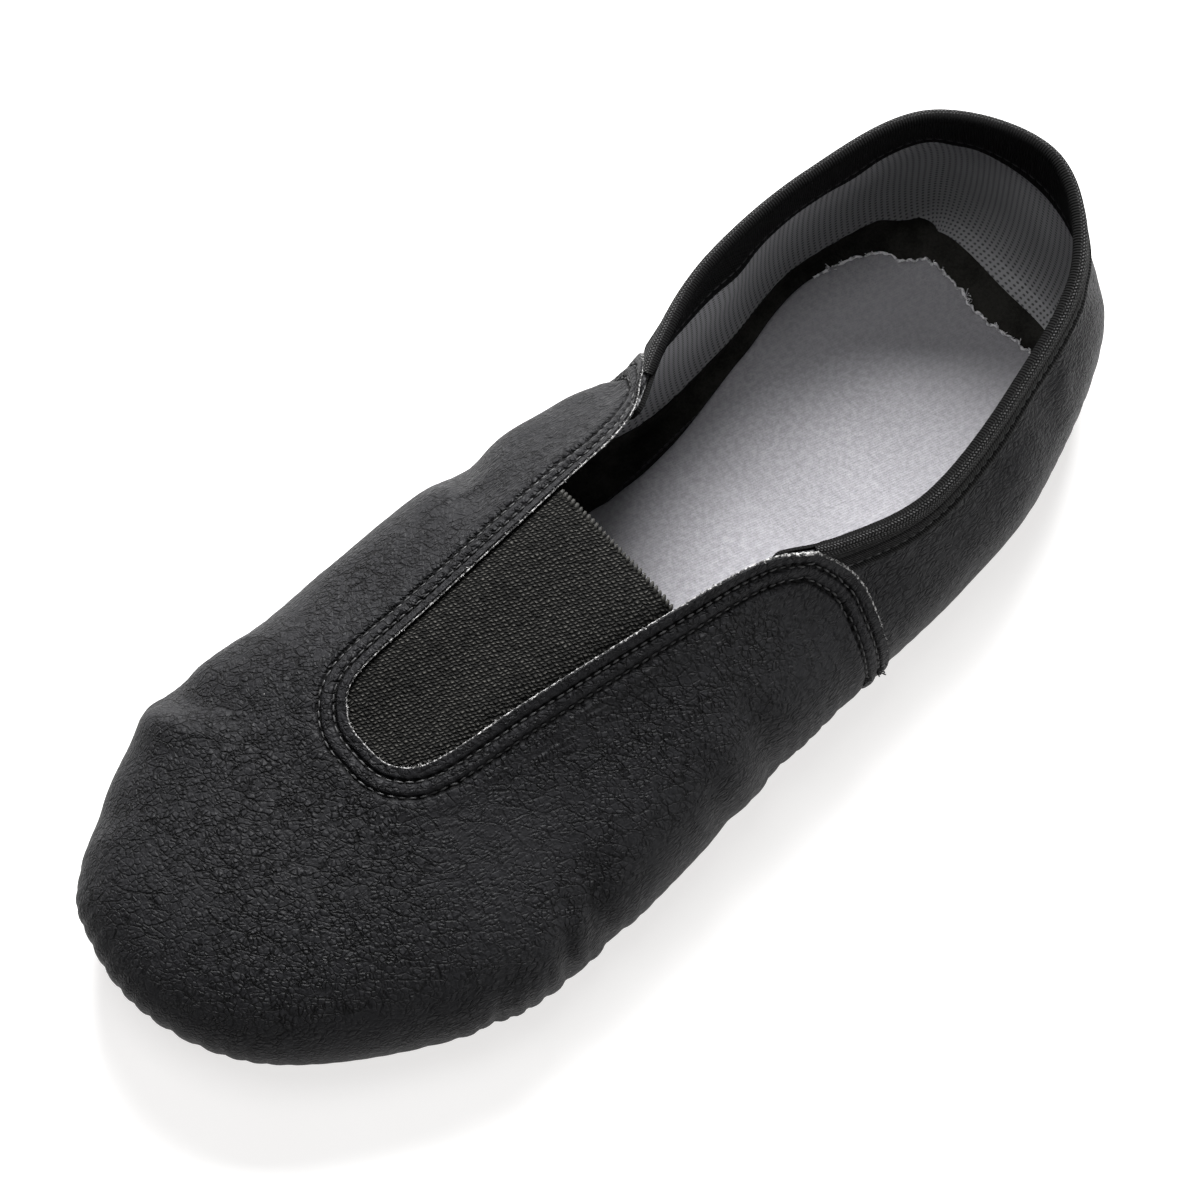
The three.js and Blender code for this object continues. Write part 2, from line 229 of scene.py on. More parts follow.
# Rows from the toe tip to the heel: at, outer, inner, open, edge outer, edge inner, instep,
# heel, slope, full, belly, as shares of the sizes above, with the slope in degrees.
SECTIONS = np.array([
    [1.000, -0.030, -0.030, 0.738, -0.030, -0.030, 0.81, 0.00, 16, 0.62, 0.23],
    [0.960, 0.245, -0.270, 0.733, 0.045, -0.098, 0.82, 0.00, 18, 0.60, 0.23],
    [0.840, 0.460, -0.435, 0.705, 0.098, -0.150, 0.85, 0.00, 26, 0.58, 0.25],
    [0.730, 0.545, -0.440, 0.620, 0.135, -0.156, 0.91, 0.00, 36, 0.56, 0.27],
    [0.540, 0.515, -0.425, 0.490, 0.198, -0.162, 1.00, 0.00, 44, 0.56, 0.27],
    [0.430, 0.490, -0.380, 0.410, 0.238, -0.180, 0.99, 0.00, 58, 0.52, 0.29],
    [0.355, 0.475, -0.320, 0.345, 0.305, -0.272, 0.50, 0.40, 72, 0.50, 0.31],
    [0.255, 0.460, -0.335, 0.262, 0.347, -0.350, 0.05, 0.81, 84, 0.50, 0.33],
    [0.150, 0.410, -0.370, 0.150, 0.293, -0.353, 0.00, 0.89, 90, 0.50, 0.34],
    [0.020, 0.235, -0.270, 0.042, 0.185, -0.275, 0.00, 0.96, 82, 0.50, 0.34],
    [0.002, -0.010, -0.010, -0.007, -0.030, -0.030, 0.00, 1.00, 90, 0.50, 0.34],
])
HEEL = len(SECTIONS) - 1
ROUND = 2 * HEEL


def side_rays(outer, edge):
    """x, y, edge x, edge y, edge z, slope, full, belly of the rays on one side."""
    at, _, _, opening, _, _, instep, heel, slope, full, belly = SECTIONS.T
    return np.stack([
        at * LENGTH, SECTIONS[:, outer] * BALL_WIDTH,
        opening * LENGTH, SECTIONS[:, edge] * BALL_WIDTH,
        instep * INSTEP_HIGH + heel * HEEL_HIGH,
        np.radians(slope), full, belly * HEEL_HIGH,
    ], 1)


RAYS = np.concatenate([side_rays(1, 4), side_rays(2, 5)[1:-1][::-1]])


def ray_at(a):
    """Smooth ray at a place counted in sections round the shoe from the toe tip."""
    a = np.asarray(a, float) % ROUND
    first = np.floor(a).astype(int)
    u = (a - first)[..., None]
    p0, p1, p2, p3 = (RAYS[(first + step) % ROUND] for step in (-1, 0, 1, 2))
    bend = (2 * p0 - 5 * p1 + 4 * p2 - p3) * u**2
    twist = (3 * p1 - p0 - 3 * p2 + p3) * u**3
    return 0.5 * (2 * p1 + (p2 - p0) * u + bend + twist)


def inward_at(a):
    """Direction from the widest line straight in, level."""
    along = ray_at(a + 0.001)[..., :2] - ray_at(a - 0.001)[..., :2]
    along = along / np.linalg.norm(along, axis=-1, keepdims=True)
    return np.stack([-along[..., 1], along[..., 0]], -1)


def sole_rise(x):
    """Underside of the sole above the floor."""
    share = x / LENGTH
    spring = np.clip((share - 0.80) / 0.20, 0, 2)
    arch = np.clip(1 - ((share - 0.46) / 0.13) ** 2, 0, 1)
    return TOE_SPRING * spring**2 + ARCH_RISE * arch


def quads(p, q, r, s):
    """Faces from the indices of their corners."""
    return np.stack([p, q, r, s], -1).reshape(-1, 4)


def layer(name, face, back, around=False, zipped=False, chart=None):
    """Closed piece between a grid of face points and a grid of back points, column by column.
    around: the last column joins the first. zipped: the last row lies on its mirror image.
    chart: run along and distance across at each point, in metres."""
    columns, rows = face.shape[:2]
    front = np.arange(columns * rows).reshape(columns, rows)
    rear = front + columns * rows
    if around:
        front = np.concatenate([front, front[:1]])
        rear = np.concatenate([rear, rear[:1]])
    faces = [
        quads(front[:-1, :-1], front[1:, :-1], front[1:, 1:], front[:-1, 1:]),
        quads(rear[:-1, :-1], rear[:-1, 1:], rear[1:, 1:], rear[1:, :-1]),
        quads(front[:-1, 0], rear[:-1, 0], rear[1:, 0], front[1:, 0]),
    ]
    if not zipped:
        faces.append(quads(front[:-1, -1], front[1:, -1], rear[1:, -1], rear[:-1, -1]))
    if not around:
        faces.append(quads(front[0, :-1], front[0, 1:], rear[0, 1:], rear[0, :-1]))
        faces.append(quads(front[-1, :-1], rear[-1, :-1], rear[-1, 1:], front[-1, 1:]))
    points = np.concatenate([face.reshape(-1, 3), back.reshape(-1, 3)])
    mesh = bpy.data.meshes.new(name)
    mesh.from_pydata(points.tolist(), [], np.concatenate(faces).tolist())
    if chart is not None:
        spots = np.concatenate([chart.reshape(-1, 2)] * 2)
        corner = np.empty(len(mesh.loops), int)
        mesh.loops.foreach_get("vertex_index", corner)
        mesh.uv_layers.new(name="chart").data.foreach_set("uv", spots[corner].ravel())
    return dressed(name, mesh, weld=zipped)


def dressed(name, mesh, weld=False, sharp=50):
    """Object for a mesh, its doubles merged if asked, shaded smooth up to an angle."""
    if weld:
        work = bmesh.new()
        work.from_mesh(mesh)
        bmesh.ops.remove_doubles(work, verts=work.verts, dist=1e-6)
        bmesh.ops.dissolve_degenerate(work, edges=work.edges, dist=1e-7)
        work.to_mesh(mesh)
        work.free()
    mesh.shade_smooth()
    mesh.set_sharp_from_angle(angle=math.radians(sharp))
    mesh.validate()
    return put(name, mesh)


def plan_rows(a, insets):
    """Level points at each inset from the widest line, then on to the middle of the shoe."""
    foot = ray_at(a)[:, :2]
    inward = inward_at(a)
    base = foot + inward * STRAIGHT_IN
    mirrored = np.roll(base[::-1], 1, 0)
    half = len(a) // 2
    x = (base[:, 0] + mirrored[:, 0]) / 2
    y = ((base[:, 1] + mirrored[:, 1]) / 2)[:half]
    order = np.argsort(x[:half])
    spine_x = np.clip(x, x.min() + 0.030, x.max() - 0.035)
    spine = np.stack([spine_x, np.interp(spine_x, x[:half][order], y[order])], 1)
    towards = spine - base
    towards = towards / np.linalg.norm(towards, axis=1, keepdims=True)
    rows = [
        np.where(inset[:, None] <= STRAIGHT_IN, foot + inward * inset[:, None],
                 base + towards * (inset[:, None] - STRAIGHT_IN))
        for inset in (np.broadcast_to(inset, a.shape) for inset in insets)
    ]
    rows += [rows[-1] + (spine - rows[-1]) * share for share in np.linspace(0, 1, 15)[1:]]
    return np.stack(rows, 1)


def on_sole(plan, level):
    """Points of a plan at a height above the underside of the sole."""
    return np.concatenate([plan, (sole_rise(plan[..., 0]) + level)[..., None]], -1) - HEEL_TO_MIDDLE


def bed(name, inset, profile, count):
    """Sheet that follows the sole. profile: rows of (inset further in, height of top, height of
    bottom) near the edge; the sheet then runs level to the middle of the shoe."""
    a = np.linspace(0, ROUND, count, endpoint=False)
    inset = inset(a) if callable(inset) else inset
    plan = plan_rows(a, [inset + extra for extra, _, _ in profile])
    level = profile + [profile[-1]] * (plan.shape[1] - len(profile))
    top = on_sole(plan, [row[1] for row in level])
    low = on_sole(plan, [row[2] for row in level])
    return layer(name, top, low, around=True, zipped=True)


def suede_finish():
    suede = Finish("black suede")
    nap = suede.noise(900.0, 4.0, 0.7)
    brushed = suede.noise(60.0, 3.0, 0.6)
    wear_and_glint_patches = suede.step(brushed, 0.35, 0.75)
    return suede.surface(
        Base_Color=suede.mix(wear_and_glint_patches, (0.022, 0.020, 0.019), (0.046, 0.042, 0.039)),
        Roughness=suede.step(nap, 0.2, 0.8, 0.86, 0.98),
        Normal=suede.relief(nap * 0.7 + brushed * 0.5, 0.0004, 0.7),
        Sheen_Weight=0.25,
        Sheen_Roughness=0.5,
    )


SOLE_PROFILE = [
    (0.0003, 0.0012, 0.0009),
    (0.0002, 0.0018, 0.0005),
    (0.0006, 0.0022, 0.0001),
    (0.0016, 0.0022, 0.0),
    (0.0030, 0.0022, 0.0),
    (0.0034, 0.0022, 0.0004),
    (0.0038, 0.0022, 0.0),
    (0.0050, 0.0022, 0.0),
]
outsole = bed("suede_sole", SOLE_INSET, SOLE_PROFILE, 420)
outsole.data.materials.append(suede_finish())
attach(outsole, "root")
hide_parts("outsole")


# Vamp
# Front of the upper, from the toe back to the wings: one skin of soft pebbled black leather,
# pleated in under the sole, that laps over the quarter and is sewn down with two rows.
LEATHER = 0.0008
VAMP_LAP = 0.0009
MARGIN_BEND = 0.005
MARGIN_REACH = 0.011
MARGIN_FLAT = -0.6
SIDE_PULL = 0.4
WING = 6
WING_ROUND = 0.35
WING_ROUND_FROM = 0.5
WING_BLEND = 1.5
LAP_FADE = 0.6
STITCH_ROWS = (0.0025, 0.0057)
STITCH_PITCH = 0.00215
GROOVE_DEEP = 0.00085
PUFF_HIGH = 0.00026
GATHER_PITCH = 0.0046
GATHER_DEEP = 0.00050
WRINKLE_PITCH = 0.00155
# Creases: section and climb at either end, half width and depth in millimetres.
# A depth below zero is a ridge.
CREASES = np.array([
    [-4.32, 0.05, -3.80, 0.62, 6.0, 2.6],  # notch of the inner side
    [-3.95, 0.30, -3.62, 0.60, 3.5, -0.7],
    [-4.75, 0.20, -4.40, 0.60, 8.0, -0.8],
    [-5.45, 0.20, -4.95, 0.55, 8.0, -1.2],  # puff in front of the inner wing
    [-5.78, 0.35, -5.20, 0.82, 3.0, 0.9],
    [-3.40, 0.15, -2.60, 0.35, 11.0, 1.1],  # flat between the notch and the toe joint
    [-2.35, 0.10, -1.50, 0.66, 5.0, 1.7],
    [-1.98, 0.14, -1.40, 0.58, 4.6, -2.5],  # corner over the toe joint
    [-1.05, -0.30, -0.62, 0.26, 6.5, -1.5],
    [-1.40, 0.00, -1.00, 0.45, 4.5, 0.9],
    [-1.02, -0.05, -0.70, 0.26, 4.0, 0.7],
    [-0.20, 0.62, 0.60, 0.50, 12.0, -0.5],
    [2.46, -0.35, 2.56, 0.22, 3.0, 1.1],  # drawn folds of the outer side
    [3.10, -0.20, 2.99, 0.38, 2.6, 1.2],
    [3.34, -0.25, 3.17, 0.42, 3.5, 1.5],
    [4.04, -0.25, 3.84, 0.44, 3.6, 1.2],
    [4.53, -0.20, 4.27, 0.45, 4.2, 1.7],
    [2.95, 0.66, 3.20, 0.20, 8.0, 0.8],
    [3.86, 0.62, 3.98, 0.05, 7.0, -0.9],
    [4.95, 0.60, 5.05, 0.10, 9.0, -0.6],
    [6.64, 0.60, 6.80, 0.10, 2.6, 0.6],  # quarter, outer side
    [7.00, 0.00, 6.88, 0.62, 4.0, 0.8],
    [7.74, 0.64, 7.73, 0.25, 5.0, -0.6],
    [8.19, 0.58, 8.20, 0.15, 5.0, 0.8],
    [8.46, 0.62, 8.30, 0.38, 3.0, -0.5],
    [9.14, 0.28, 8.95, 0.80, 2.6, 0.6],
    [-7.30, 0.62, -7.15, 0.15, 5.0, 0.8],  # quarter, inner side
    [-8.30, 0.60, -8.45, 0.15, 5.0, 0.6],
    [-9.20, 0.70, -9.10, 0.20, 4.0, 0.5],
])


def cubic(u):
    """Weights of the four handles of a curve."""
    return (1 - u) ** 3, 3 * u * (1 - u) ** 2, 3 * u**2 * (1 - u), u**3


def last_point(a, climb):
    """Outer face of the upper. climb: -1 at the margin's edge under the foot, 0 on the widest
    line, 1 at the edge of the opening."""
    a, climb = np.broadcast_arrays(np.asarray(a, float), np.asarray(climb, float))
    x, y, edge_x, edge_y, edge_z, slope, full, belly = np.moveaxis(ray_at(a), -1, 0)
    inward = inward_at(a)
    foot = sole_rise(x) + SOLE_THICK + CLEARANCE + belly
    high = edge_z - foot
    pull = SIDE_PULL * np.sqrt((edge_x - x) ** 2 + (edge_y - y) ** 2 + high**2)
    b0, b1, b2, b3 = cubic(np.clip(climb, 0, 1))
    lean = np.cos(slope) * pull
    wall = np.stack([
        (b0 + b1) * x + b2 * (edge_x - inward[..., 0] * lean) + b3 * edge_x,
        (b0 + b1) * y + b2 * (edge_y - inward[..., 1] * lean) + b3 * edge_y,
        b0 * foot + b1 * (foot + full * high) + b2 * (edge_z - np.sin(slope) * pull) + b3 * edge_z,
    ], -1)
    bend = np.clip(climb / MARGIN_FLAT, 0, 1) * np.pi / 2
    flat = np.clip((MARGIN_FLAT - climb) / (1 + MARGIN_FLAT), 0, 1)
    reach = MARGIN_BEND * (1 - np.cos(bend)) + (MARGIN_REACH - MARGIN_BEND) * flat
    under_x = x + inward[..., 0] * reach
    under_y = y + inward[..., 1] * reach
    under_z = sole_rise(under_x) + SOLE_THICK + CLEARANCE + belly * (1 - np.sin(bend))
    under = np.stack([under_x, under_y, under_z], -1)
    return np.where((climb >= 0)[..., None], wall, under) - HEEL_TO_MIDDLE


def unit(vectors):
    return vectors / np.maximum(np.linalg.norm(vectors, axis=-1, keepdims=True), 1e-12)


def outward(a, climb):
    """Unit direction out through the upper."""
    along = last_point(a + 0.001, climb) - last_point(a - 0.001, climb)
    up = last_point(a, np.minimum(climb + 0.001, 1)) - last_point(a, np.maximum(climb - 0.001, -1))
    return unit(np.cross(along, up))


def run_along(points):
    """Length run along a path of points, from its start."""
    steps = np.linalg.norm(np.diff(points, axis=0), axis=1)
    return np.concatenate([[0], np.cumsum(steps)])


def smooth(value, start, end):
    """Smooth step of a value from start to end."""
    u = np.clip((value - start) / (end - start), 0, 1)
    return u * u * (3 - 2 * u)


def bell(value, middle, wide):
    """Smooth hump, 1 at the middle."""
    return np.exp(-((value - middle) / wide) ** 2)


WAIST_AT = np.linspace(0, ROUND, 2001)
WAIST_RUN = run_along(last_point(WAIST_AT, 0.0))


def waist_run(a):
    """Length round the widest line from the toe tip to a place."""
    return np.interp(np.asarray(a, float) % ROUND, WAIST_AT, WAIST_RUN)


def sunk(a, climb):
    """How far the creases and the gathers press the upper in at a place, in metres."""
    points = last_point(a, climb)
    total = np.zeros(points.shape[:-1])
    for start, low, end, high, wide, deep in CREASES:
        share = np.linspace(0, 1, 17)
        line = last_point(start + (end - start) * share, low + (high - low) * share)
        nearest = np.full(total.shape, 1.0)
        spot = np.zeros(total.shape)
        for k in range(16):
            leg = line[k + 1] - line[k]
            u = np.clip(((points - line[k]) @ leg) / (leg @ leg), 0, 1)
            away = np.linalg.norm(points - line[k] - u[..., None] * leg, axis=-1)
            spot = np.where(away < nearest, (k + u) / 16, spot)
            nearest = np.minimum(nearest, away)
        fade = 0.35 + 0.65 * np.sin(np.pi * np.clip(spot, 0.08, 0.92))
        total += deep * 0.001 * fade * bell(nearest, 0, wide * 0.001)
    low_down = smooth(climb, 0.34, -0.15) * (1 - smooth(climb, -0.75, -1.0))
    toe = 1 - smooth(np.abs((np.asarray(a) + ROUND / 2) % ROUND - ROUND / 2), 4.0, 6.0)
    turns = 2 * np.pi * waist_run(a)
    phase = turns / GATHER_PITCH + 1.6 * np.sin(turns / 0.041) + np.sin(turns / 0.027)
    swell = 0.55 + 0.45 * np.sin(turns / 0.083 + 1.0)
    gathers = (0.5 + 0.5 * np.cos(phase)) ** 2 * (0.35 + 0.65 * toe) * swell
    return total + GATHER_DEEP * gathers * low_down


def skin(a, climb, depth):
    """Point at a depth below the upper's outer face, creases and gathers included."""
    return last_point(a, climb) - outward(a, climb) * (depth + sunk(a, climb))[..., None]


def spread(start, end, pitch, climb=0.5):
    """Places from start to end that lie a pitch apart along the upper."""
    fine = np.linspace(start, end, 3000)
    run = run_along(last_point(fine, climb))
    return np.interp(np.linspace(0, run[-1], int(run[-1] / pitch) + 1), run, fine)


def climb_below(a, lengths):
    """Climb values that lie the given lengths down the wall from the edge, a row for each a."""
    steps = np.linspace(1, 0, 161)
    path = last_point(np.asarray(a)[:, None], steps)
    gone = np.cumsum(np.linalg.norm(np.diff(path, axis=1), axis=-1), axis=1)
    return np.array([np.interp(lengths, [0, *row], steps) for row in gone])


def wing_lean(a, climb):
    """The wing's top corner is rounded: columns near it lean towards the toe as they climb."""
    away = np.minimum(np.abs(a - WING), np.abs(a + WING))
    near = 1 - smooth(away, 0, WING_BLEND)
    rise = np.maximum((climb - WING_ROUND_FROM) / (1 - WING_ROUND_FROM), 0) ** 3
    return a - np.sign(a) * WING_ROUND * near * rise


def lap_at(a, climb):
    """How far the vamp stands proud in front of the wing's edge."""
    return VAMP_LAP * smooth(climb, MARGIN_FLAT, 0) * (1 - smooth(WING - np.abs(a), 0, LAP_FADE))


def wall_climbs(a, close, wall_rows, margin_rows):
    """Climb of each row of a column: a margin, a wall and evenly close rows next to the edge."""
    near = climb_below(a, close)[:, ::-1]
    margin = np.broadcast_to(np.linspace(-1, 0, margin_rows + 1), (len(a), margin_rows + 1))
    wall = near[:, :1] * np.linspace(0, 1, wall_rows + 1)[None, 1:-1]
    return np.concatenate([margin, wall, near], 1)


def sampled(places, run, line):
    """Points at places along a line, which has the given run at each of its own points."""
    return np.stack([np.interp(places, run, line[:, k]) for k in range(3)], 1)


vamp_columns = spread(-WING, WING, 0.00072)
vamp_climb = wall_climbs(vamp_columns, np.arange(0, 0.0125, 0.0006), 46, 15)
vamp_at = wing_lean(vamp_columns[:, None], vamp_climb)
vamp_lap = lap_at(vamp_columns[:, None], vamp_climb)
vamp_out = outward(vamp_at, vamp_climb)
vamp_plain = skin(vamp_at, vamp_climb, -vamp_lap)

# The cut edge runs up the inner wing, round the throat and down the outer wing.
cut_edge = np.concatenate([vamp_plain[0, :-1], vamp_plain[:-1, -1], vamp_plain[-1, ::-1]])
cut_run = run_along(cut_edge)
cut_fine = np.linspace(0, cut_run[-1], int(cut_run[-1] / 0.0001))
cut_line = sampled(cut_fine, cut_run, cut_edge)
cut_out = np.concatenate([vamp_out[0, :-1], vamp_out[:-1, -1], vamp_out[-1, ::-1]])
cut_out = unit(sampled(cut_fine, cut_run, cut_out))
throat_tip = cut_fine[np.argmax(cut_line[:, 0] - 10 * (cut_line[:, 2] < 0.03))]
cut_tree = KDTree(len(cut_line))
for k, point in enumerate(cut_line):
    cut_tree.insert(point, k)
cut_tree.balance()


def from_cut(points):
    """Run along the cut edge from the throat's tip, and distance from that edge."""
    found = [cut_tree.find(point) for point in points.reshape(-1, 3)]
    run = cut_fine[[hit[1] for hit in found]] - throat_tip
    away = np.array([hit[2] for hit in found])
    return run.reshape(points.shape[:-1]), away.reshape(points.shape[:-1])


def sewn_groove(run, away):
    """How deep the two rows of stitches pull the leather in."""
    sunken = sum(bell(away, row, 0.00058) for row in STITCH_ROWS)
    drawn = 0.75 + 0.25 * np.cos(2 * np.pi * run / STITCH_PITCH)
    puffed = bell(away, 0.0041, 0.0009) + 0.9 * bell(away, 0.0078, 0.0016)
    return GROOVE_DEEP * sunken * drawn - PUFF_HIGH * puffed


def ripple(length, pitch, shift=0.0):
    """Wave from 0 to 1 that comes back each pitch along a length."""
    return (length * (2 * math.pi / pitch) + shift).wave() * 0.5 + 0.5


def leather_finish(name, slack, sewn=False):
    """Pebbled full-grain leather with a soft sheen. slack: how far it lies in soft hollows.
    sewn: puckers along the two rows, read from the piece's chart of run along the cut edge and
    distance from it, in metres."""
    hide = Finish(name)
    wander = hide.here
    for scale, detail, far in ((140.0, 2.0, 0.0022), (900.0, 1.0, 0.0006)):
        sockets = {"Vector": hide.here, "Scale": scale, "Detail": detail}
        drift = hide.node("ShaderNodeTexNoise", {}, sockets, "Color")
        sockets = {0: drift, 1: (far, far, far), 2: wander}
        wander = hide.node("ShaderNodeVectorMath", {"operation": "MULTIPLY_ADD"}, sockets)

    def cells(scale, kind, turn, stretch):
        """Distance to the edges of a net of cells that is turned and stretched."""
        sockets = {"Vector": wander, "Rotation": (0, 0, turn), "Scale": stretch}
        turned = hide.node("ShaderNodeMapping", {"vector_type": kind}, sockets)
        sockets = {"Vector": turned, "Scale": scale}
        return hide.node("ShaderNodeTexVoronoi", {"feature": "DISTANCE_TO_EDGE"}, sockets)

    pebbles = cells(900.0, "POINT", 0, (1.0, 1.0, 1.0))
    strokes = cells(860.0, "POINT", 0.12, (0.48, 1.35, 1.35))
    creases = cells(400.0, "TEXTURE", -0.85, (2.6, 1.0, 1.0))
    facing = hide.node("ShaderNodeTexCoord", output="Normal")
    level = hide.axis(facing, "Z") + (hide.noise(22.0, 1.0) - 0.5) * 0.9
    zone = hide.step(level, 0.86, 0.62)
    cracks = hide.node("ShaderNodeMix", {}, {0: zone, 2: pebbles, 3: strokes})
    fine = hide.noise(2400.0, 2.0, 0.6)
    soft = hide.noise(75.0, 3.0, 0.55)
    depth = hide.step(hide.noise(48.0), 0.3, 0.7, 0.55, 1.0)
    depth = depth * hide.step(hide.noise(520.0, 1.0), 0.34, 0.62, 0.25, 1.0)
    lines = hide.step(creases, 0.075, 0.01) * hide.step(hide.noise(170.0, 1.0), 0.36, 0.58)
    lines = lines * (1 - zone * 0.8)
    height = hide.step(cracks, 0.0, 0.24) * depth + fine * 0.18 + soft * 0.7 - lines * 0.6
    height = height + hide.noise(38.0) * slack
    tone = hide.mix(hide.noise(34.0, 3.0), (0.0140, 0.0140, 0.0152), (0.0220, 0.0220, 0.0242))
    tone = hide.mix(fine, tone, (0.0076, 0.0076, 0.0083))
    # Painted shade: the colour is made near black in the cracks between the pebbles and along the crease
    # lines, where shade lies in them; the cracks less so on the steep sides.
    painted_crevice_shade = (0.0007, 0.0007, 0.0008)
    tone = hide.mix(hide.step(cracks, 0.16, 0.02) * depth * (1 - zone * 0.35), tone, painted_crevice_shade)
    tone = hide.mix(lines * 0.65, tone, painted_crevice_shade)
    if sewn:
        run, away = hide.chart()
        jitter = hide.noise(260.0) * 1.6
        pull = ripple(run, STITCH_PITCH, jitter)
        first, second = ((away - row).size() for row in STITCH_ROWS)
        rows = hide.step(first, 0.0019, 0.0003) + hide.step(second, 0.0019, 0.0003)
        holes = hide.step(first, 0.00080, 0.00025) + hide.step(second, 0.00080, 0.00025)
        wrinkled = hide.step(run, 0.020, 0.034) * hide.step(run, 0.100, 0.070)
        wrinkled = wrinkled * hide.step(away, 0.0060, 0.0072) * hide.step(away, 0.0135, 0.0095)
        folds = ripple(away, WRINKLE_PITCH, jitter * 2.4)
        broken = hide.step(hide.noise(130.0), 0.40, 0.62)
        height = height + rows * pull * 0.9 - holes * 0.9 + wrinkled * folds * broken * 0.9
        # Painted shade: the stitch holes are painted near black, darker where the thread pulls in, as shade
        # lies in them.
        tone = hide.mix(holes * (pull * 0.4 + 0.55), tone, (0.0006, 0.0006, 0.0006))
    specks = hide.node("ShaderNodeTexVoronoi", {}, {"Vector": hide.here, "Scale": 150.0})
    dusty = hide.step(specks, 0.028, 0.012) * hide.step(hide.noise(260.0), 0.52, 0.56)
    return hide.surface(
        Base_Color=hide.mix(dusty, tone, (0.30, 0.29, 0.28)),
        Roughness=hide.step(height, 0.3, 1.6, 0.66, 0.48),
        Normal=hide.relief(height, 0.00034, 1.0),
        Specular_IOR_Level=0.085,
    )


vamp_run, vamp_away = from_cut(vamp_plain)
vamp_face = vamp_plain - vamp_out * sewn_groove(vamp_run, vamp_away)[..., None]
vamp_back = skin(vamp_at, vamp_climb, LEATHER - vamp_lap)
vamp = layer("vamp", vamp_face, vamp_back, chart=np.stack([vamp_run, vamp_away], -1))
vamp.data.materials.append(leather_finish("pebbled black leather", 1.0, sewn=True))
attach(vamp, "root")
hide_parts("upper")


# Quarter
# Back of the upper round the heel, the same black leather. Its front ends lie under the wings
# of the vamp, and its top edge goes into the binding.
QUARTER_FROM = 5.75
quarter_columns = spread(QUARTER_FROM, ROUND - QUARTER_FROM, 0.0009)
quarter_climb = wall_climbs(quarter_columns, np.arange(0, 0.0101, 0.001), 40, 13)


def round_back(a):
    """Places behind the heel's middle, counted back from the toe tip as the inner side is."""
    return np.where(a > ROUND / 2, a - ROUND, a)


quarter_turn = round_back(quarter_columns)[:, None]
quarter_at = wing_lean(quarter_turn, quarter_climb)
quarter_ahead = WING - np.abs(quarter_turn)
tucked = np.where(
    quarter_ahead > 0,
    np.maximum(LEATHER + 0.00004 - VAMP_LAP * (1 - smooth(quarter_ahead, 0, LAP_FADE)), 0),
    0,
) + 0 * quarter_climb
quarter_face = skin(quarter_at, quarter_climb, tucked)
quarter_back = skin(quarter_at, quarter_climb, np.maximum(tucked + 0.0005, LEATHER))
quarter = layer("quarter", quarter_face, quarter_back)
quarter.data.materials.append(leather_finish("pebbled black leather of the quarter", 3.2))
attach(quarter, "root")
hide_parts("upper")


# Raw edge of the vamp
# The knife leaves the pale split of the leather showing as a thin fuzzy line round the throat
# and over the wings. It wears off on the rear edge of the wings.
FUZZ_RADIUS = 0.00014
FUZZ_LEAST = 0.00006
FUZZ_BELOW = 0.00058


def rope(path, radius, sides=6):
    """Round strand along a path of points, with a radius at each point and closed ends."""
    path = np.asarray(path, float)
    radius = np.broadcast_to(radius, len(path))
    ahead = unit(np.gradient(path, axis=0))
    side = unit(np.cross(ahead, [0.13, 0.21, 0.97]))
    over = np.cross(side, ahead)
    turn = np.linspace(0, 2 * np.pi, sides, endpoint=False)
    ring = np.cos(turn)[None, :, None] * side[:, None] + np.sin(turn)[None, :, None] * over[:, None]
    points = path[:, None] + ring * radius[:, None, None]
    grid = np.arange(points.shape[0] * sides).reshape(-1, sides)
    grid = np.concatenate([grid, grid[:, :1]], 1)
    faces = quads(grid[:-1, :-1], grid[:-1, 1:], grid[1:, 1:], grid[1:, :-1]).tolist()
    faces.append(grid[0, -2::-1].tolist())
    faces.append(grid[-1, :-1].tolist())
    return points.reshape(-1, 3), faces


def joined(name, strands):
    """One object from many strands, each a pair of points and faces."""
    points, faces, total = [], [], 0
    for strand_points, strand_faces in strands:
        points.extend(strand_points.tolist())
        faces.extend([[total + index for index in face] for face in strand_faces])
        total += len(strand_points)
    mesh = bpy.data.meshes.new(name)
    mesh.from_pydata(points, [], faces)
    work = bmesh.new()
    work.from_mesh(mesh)
    bmesh.ops.recalc_face_normals(work, faces=work.faces)
    work.to_mesh(mesh)
    work.free()
    return dressed(name, mesh, sharp=80)


def wobble(run, seed, *waves):
    """Uneven value near 0 along a length, summed from waves of the given lengths in metres."""
    shift = np.random.default_rng(seed).uniform(0, 2 * np.pi, len(waves))
    return sum(np.sin(2 * np.pi * run / wave + turn) for wave, turn in zip(waves, shift)) / len(waves)


def split_finish():
    split = Finish("pale split of the leather")
    pale = split.step(split.noise(1500.0, 2.0, 0.6), 0.43, 0.64)
    return split.surface(
        Base_Color=split.mix(pale, (0.026, 0.026, 0.026), (0.42, 0.415, 0.41)),
        Roughness=0.95,
        Normal=split.relief(split.noise(2600.0, 3.0, 0.7), 0.0002, 0.8),
    )


